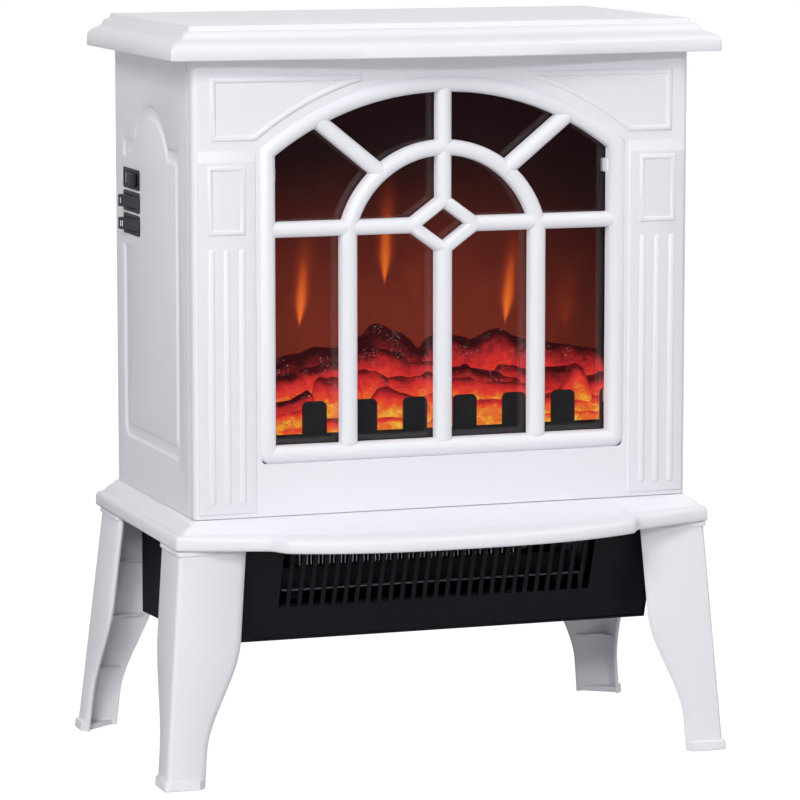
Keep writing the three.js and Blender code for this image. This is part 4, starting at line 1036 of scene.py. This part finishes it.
# ---- log bed
LOGS = [
    # distance behind the front face, depth and height of the section, painted shade that darkens
    # its glow, then X and Z of each place along the crest
    (62, 9, 10, 0.5, (-146, 281, -126, 287, -108, 292, -98, 295.4, -89, 296, -81, 299, -77, 300.3,
     -67, 299.4, -59, 299.6, -46, 299)),
    (61, 12, 13, 0.5, (-64, 290, -54, 297, -46, 304.4, -40, 308.6, -35, 314.4, -30.5, 315.8,
     -24.4, 313.6, -19, 309.8, -14, 308.8, -6, 303.6, -2, 299, 5, 294)),
    (62, 10, 14, 0.24, (-4, 292, 3, 296.5, 9, 303, 13, 304.8, 27, 305, 35, 303.5, 46, 300)),
    (62, 10, 15, 0.22, (36, 300, 44, 301.5, 50, 303.8, 57, 307.5, 64, 308, 70, 305.4, 75, 302,
     84, 299.5, 101, 297, 113, 295, 126, 292.8, 146, 289)),
    (51, 12, 13, 0.02, (-146, 272, -128, 277, -111, 281.6, -93, 284.8, -82, 287.5, -71, 290.3,
     -62, 292.3, -50, 291)),
    (53, 12, 16, 0.12, (-66, 291, -56, 298, -47, 302, -33, 299, -16, 295.8, -10, 289, -4, 281)),
    (52, 10, 10, 0.04, (-24, 285, -18, 288, -8, 288, 9, 287.7, 26, 284)),
    (46, 11, 14, -0.06, (-34, 279, -20, 281, -10, 278.6, -3, 280, 2, 282.2, 8, 280.3, 24, 281)),
    (45, 8, 6, 0.42, (12, 281, 23, 283.5, 28, 283.6, 32, 285.8, 36, 282.6, 53, 279.4, 68, 277.2,
     76, 273)),
    (42, 9, 11, 0.0, (12, 277, 22, 278.8, 32, 278.4, 45, 274.2, 62, 273.8, 76, 271, 90, 268)),
    (48, 10, 12, 0.02, (54, 281, 60, 283.6, 70, 282.3, 80, 279.4, 94, 276)),
    (47, 9, 9, 0.40, (84, 279, 95, 280.4, 104, 280.4, 113, 280.5, 122, 277)),
    (42, 11, 17, -0.14, (101, 266, 107, 277.4, 112, 281.8, 116.5, 282.6, 120, 280.7, 124, 274.4,
     129, 264)),
    (46, 11, 14, -0.02, (118, 270, 126, 272, 133, 273.2, 137, 275.5, 146, 276)),
    (40, 8, 7, 0.26, (-146, 262, -128, 263.4, -115, 264.6, -104, 265.8, -96, 269.4, -90, 272.4,
     -84, 268)),
    (37, 8, 12, -0.22, (-146, 256, -120, 258, -102, 261, -92, 262, -76, 260)),
    (42, 11, 19, -0.12, (-90, 266, -86, 276, -84, 279.4, -80, 281.8, -76, 280.2, -71, 281.8,
     -65, 280.6, -56, 279, -46, 275)),
    (46, 11, 20, -0.04, (-58, 284, -48, 287, -38, 286, -28, 281, -22, 274)),
    (38, 9, 12, -0.08, (-50, 258, -43, 267.2, -38, 272.6, -31, 272.3, -21, 268.7, -9, 265, 4, 261)),
    (40, 9, 13, -0.20, (-12, 264, 0, 268, 12, 270, 24, 266, 34, 262)),
    (37, 8, 10, -0.24, (16, 259, 30, 261, 50, 261.5, 70, 259, 86, 256)),
    (38, 8, 11, -0.18, (80, 259, 96, 262.5, 112, 260, 130, 260, 146, 261)),
    (34.5, 6, 9, -0.06, (-146, 250.5, -118, 250, -100, 251, -76, 253, -52, 251)),
    (34.5, 6, 8, -0.26, (-60, 249, -30, 252, 0, 250, 24, 248)),
    (34.5, 6, 9, -0.24, (14, 250, 40, 254, 64, 253, 82, 249)),
    (34.5, 6, 9, -0.16, (76, 250, 100, 253, 124, 252, 146, 250)),
]


def crest_at(crest, x):
    """Height of a crest over a place along it, eased between its points."""
    for (low_x, low_z), (high_x, high_z) in zip(crest, crest[1:]):
        if x <= high_x:
            share = (x - low_x) / (high_x - low_x)
            return low_z + (high_z - low_z) * (share + smoothstep(0, 1, share)) / 2
    return crest[-1][1]


def one_log(bm, shade, number, log):
    """A log under its crest: blunt ends, bark furrows, and a painted shade for its glow that is
    darkest on top.
    """
    behind, depth, high, dark, places = log
    crest = list(zip(places[::2], places[1::2]))
    start, stop = crest[0][0], crest[-1][0]
    count = round((stop - start) / 1.8)
    around = 30
    rings = []
    for i in range(count + 1):
        x = start + (stop - start) * i / count
        near_end = min(x - start, stop - x)
        blunt = math.sqrt(max(1 - (1 - min(near_end / 7, 1)) ** 2, 0.02))
        top = crest_at(crest, x)
        ring = []
        for j in range(around):
            turn = 2 * math.pi * j / around
            out, up = math.sin(turn), math.cos(turn)
            spot = Vector((x * 0.05, out * 1.4 + number * 9.3, up * 1.4))
            bark = 0.6 * noise.noise(spot) + 0.45 * noise.noise(spot * 3.1)
            bark += 0.35 * noise.noise(spot * 8)
            grown = blunt * (1 + 0.085 * bark)
            y = FRONT + behind - depth * out * grown
            vert = bm.verts.new((x, y, top - high + high * up * grown))
            # Painted shade of the glow: darkest on the crest, lighter on the face, lightest
            # underneath.
            crown = up + 0.3 * noise.noise(Vector((x * 0.09, number * 3.7, out))) + 0.12 * bark
            tops, faces = smoothstep(0.42, 1.05, crown), smoothstep(-0.6, 0.75, crown)
            vert[shade] = dark + 0.56 * tops + 0.3 * faces
            ring.append(vert)
        rings.append(ring)
    skin(bm, rings)


def log_bed():
    """Heaped logs in one resin moulding on a common base."""
    bm = bmesh.new()
    shade = bm.verts.layers.float.new("shade")
    half, base = 145, 228.4
    block(bm, (-half, FRONT + 30.5, base), (half, FRONT + 72, 250), 5)
    block(bm, (-half, FRONT + 58, 240), (half, FRONT + 70, 284), 4)
    # Painted shade: the front of the base glows brightest and its back is darker.
    for vert in bm.verts:
        vert[shade] = -0.25 if vert.co.y < FRONT + 40 else 0.3
    for number, log in enumerate(LOGS):
        one_log(bm, shade, number, log)
    for vert in bm.verts:
        vert.co.z = max(vert.co.z, base)
        vert.co.x = max(min(vert.co.x, half + 0.5), -half - 0.5)
    outward(bm)
    finished("resin_logs", bm, EMBERS, ["log_bed"], sharp=80)


def glass_clips():
    """Four moulded tabs that hold the pane against the back of the front."""
    outer, front, back, high = 146.4, -74.4, -61.4, 10
    for hand, side in SIDES.items():
        for level, low, inner in (("lower", 257, 127.4), ("upper", 425, 124.6)):
            bm = bmesh.new()
            near, far = sorted((side * inner, side * outer))
            block(bm, (near, front, low), (far, back, low + high), 1.1)
            moulded(f"{level}_{hand}_tab", bm, f"glass_clip_{level}_{hand}")


# ---- switches
def rounded_rectangle(half_y, half_z, radius):
    points = []
    for across, up, start in ((1, 1, 0), (-1, 1, 90), (-1, -1, 180), (1, -1, 270)):
        centre = (across * (half_y - radius), up * (half_z - radius))
        points += arc(centre, radius, start, start + 90, 4)
    return points


def switch_bezel(name, z):
    """Frame of a switch with its can behind the panel and a well for the rocker."""
    bm = bmesh.new()
    rings = []
    for x, half_y, half_z, radius in [
            (-160, 16.6, 5.8, 0.5), (-185.3, 16.6, 5.8, 0.5), (-185.3, 21, 7.4, 1.4),
            (-186.6, 21, 7.4, 1.4), (-186.9, 20.85, 7.25, 1.3), (-187, 20.5, 6.9, 1.1),
            (-187, 17.5, 5.1, 0.9), (-186.7, 17.1, 4.8, 0.7), (-185.2, 17, 4.7, 0.6),
            (-184.6, 16.3, 4.65, 0.5), (-176.5, 16.3, 4.65, 0.5)]:
        rings.append([bm.verts.new((x, SWITCH["y"] + y, z + up))
                      for y, up in rounded_rectangle(half_y, half_z, radius)])
    skin(bm, rings)
    outward(bm)
    for y in (SWITCH["y"] - 8, SWITCH["y"], SWITCH["y"] + 8):
        block(bm, (-161, y - 0.5, z - 2.4), (-158.6, y + 0.5, z + 2.4))
    finished(f"{name}_bezel", bm, BEZEL_BLACK, [f"{name}_switch_body"], sharp=40)


def turned_with_rocker(bm, z, tilt):
    bmesh.ops.rotate(bm, cent=(*PIVOT, z), matrix=Matrix.Rotation(tilt, 3, "Z"), verts=bm.verts)


def switch_rocker(name, z, tilt, marks):
    """Rocker with a dished face and its bar marks near the rear end."""
    bm = bmesh.new()
    dish = [(3.9, -16.2), (3.35, -12), (2.75, -7), (2.45, 0), (2.75, 7), (3.35, 12), (3.9, 16.2)]
    under = [(1.4, 16), (-1.6, 14.2), (-5, 4), (-5, -4), (-1.6, -14.2), (1.4, -16)]
    half = 4.4
    slab(bm, [(PIVOT[0] - out, PIVOT[1] + along, z - half) for out, along in dish + under], half * 2)
    turned_with_rocker(bm, z, tilt)
    body = f"{name}_switch_rocker"
    paddle = finished(f"{name}_paddle", bm, ROCKER_GREY, [f"{name}_rocker"],
                      body, 30)
    soften(paddle, 0.45, 3, 35)
    if marks:
        bars = bmesh.new()
        for along in marks:
            block(bars, (PIVOT[0] - 3.68, PIVOT[1] + along - 0.4, z - 2.1),
                  (PIVOT[0] - 3.2, PIVOT[1] + along + 0.4, z + 2.1))
        turned_with_rocker(bars, z, tilt)
        finished(f"{name}_marks", bars, WHITE, (), body)


def switches():
    for row, (name, tilt, marks) in enumerate([("flame", -ROCK, ()), ("low_heat", ROCK, (12.8,)),
                                               ("high_heat", ROCK, (13, 10.4))]):
        switch_bezel(name, switch_height(row))
        switch_rocker(name, switch_height(row), tilt, marks)


# ---- heater
def leaned(z, inward):
    """A place on the heater's leaning face, moved inward along it."""
    slope = OUTLET["toe"] - (z - OUTLET["base"]) * math.tan(OUTLET["lean"])
    return slope + inward / math.cos(OUTLET["lean"])


def guard():
    """Folded lip that crosses the outlet behind its slots."""
    bm = bmesh.new()
    y = leaned(131, 7)
    block(bm, (-115, y, 130.6), (115, y + 6, 131.5), 0.3, 2)
    for x in (-108.7, 114.9):
        block(bm, (x - 1, leaned(122, 8), 121), (x + 1, leaned(122, 10), 131), 0.2, 1)
    finished("outlet_lip", bm, DULL_ZINC, ["guard_bars"])


def element():
    """Heating block: a dark front plate with thin upright fins above it."""
    bm = bmesh.new()
    block(bm, (-114, -46, 131.4), (108, -44.4, 146.2), 0.4, 2)
    end, half = 102, 4
    for x in (-end, end):
        block(bm, (x - half, -41.7, 122), (x + half, -28, 172), 0.4, 1)
    finished("element_plate", bm, BLACK_SHEET, ["heating_element"])
    fins = bmesh.new()
    first, pitch, thick = -98, 2.87, 0.5
    for i in range(60):
        x = first + i * pitch
        block(fins, (x - thick / 2, -43.5, 146.4), (x + thick / 2, -30, 171))
    finished("element_fins", fins, FIN_METAL)


top_cap()
base_plinth()
for end_name, leg_end in ENDS.items():
    for side_name, leg_side in SIDES.items():
        leg(f"{end_name}_{side_name}", leg_side, leg_end)
front_panel()
lattice()
for side_name, panel_side in SIDES.items():
    side_panel(side_name, panel_side)
log_bed()
glass_clips()
switches()
guard()
element()

dress(FILM, "flame_screen")
dress(WHITE, "rear_cover")
dress(BLACK_SHEET, "heater_housing", "outlet_grille")
dress(SOOT, "firebox_floor", "firebox_left_wall", "firebox_right_wall",
      "firebox_roof", "firebox_back", "blower_scroll", "fan_drum")
dress(CHARCOAL, "ember_fence", "cord_gland", "terminal_block", "fan_bush", "spindle_bush")
dress(ZINC, "fan_motor", "flame_motor", "flame_motor_bracket", "spindle_bracket")
for side_name in SIDES:
    dress(ZINC, *[f"leg_screw_{end_name}_{side_name}" for end_name in ENDS])
    dress(ZINC, *[f"rear_screw_{side_name}_{row}" for row in ("lower", "middle", "upper")])
dress(ALUMINIUM, "flame_spindle")
dress(BRASS, "thermal_cutout")
dress(BOARD, "ember_led_board", "flame_led_board")
paint(GLASS, "glass_pane")
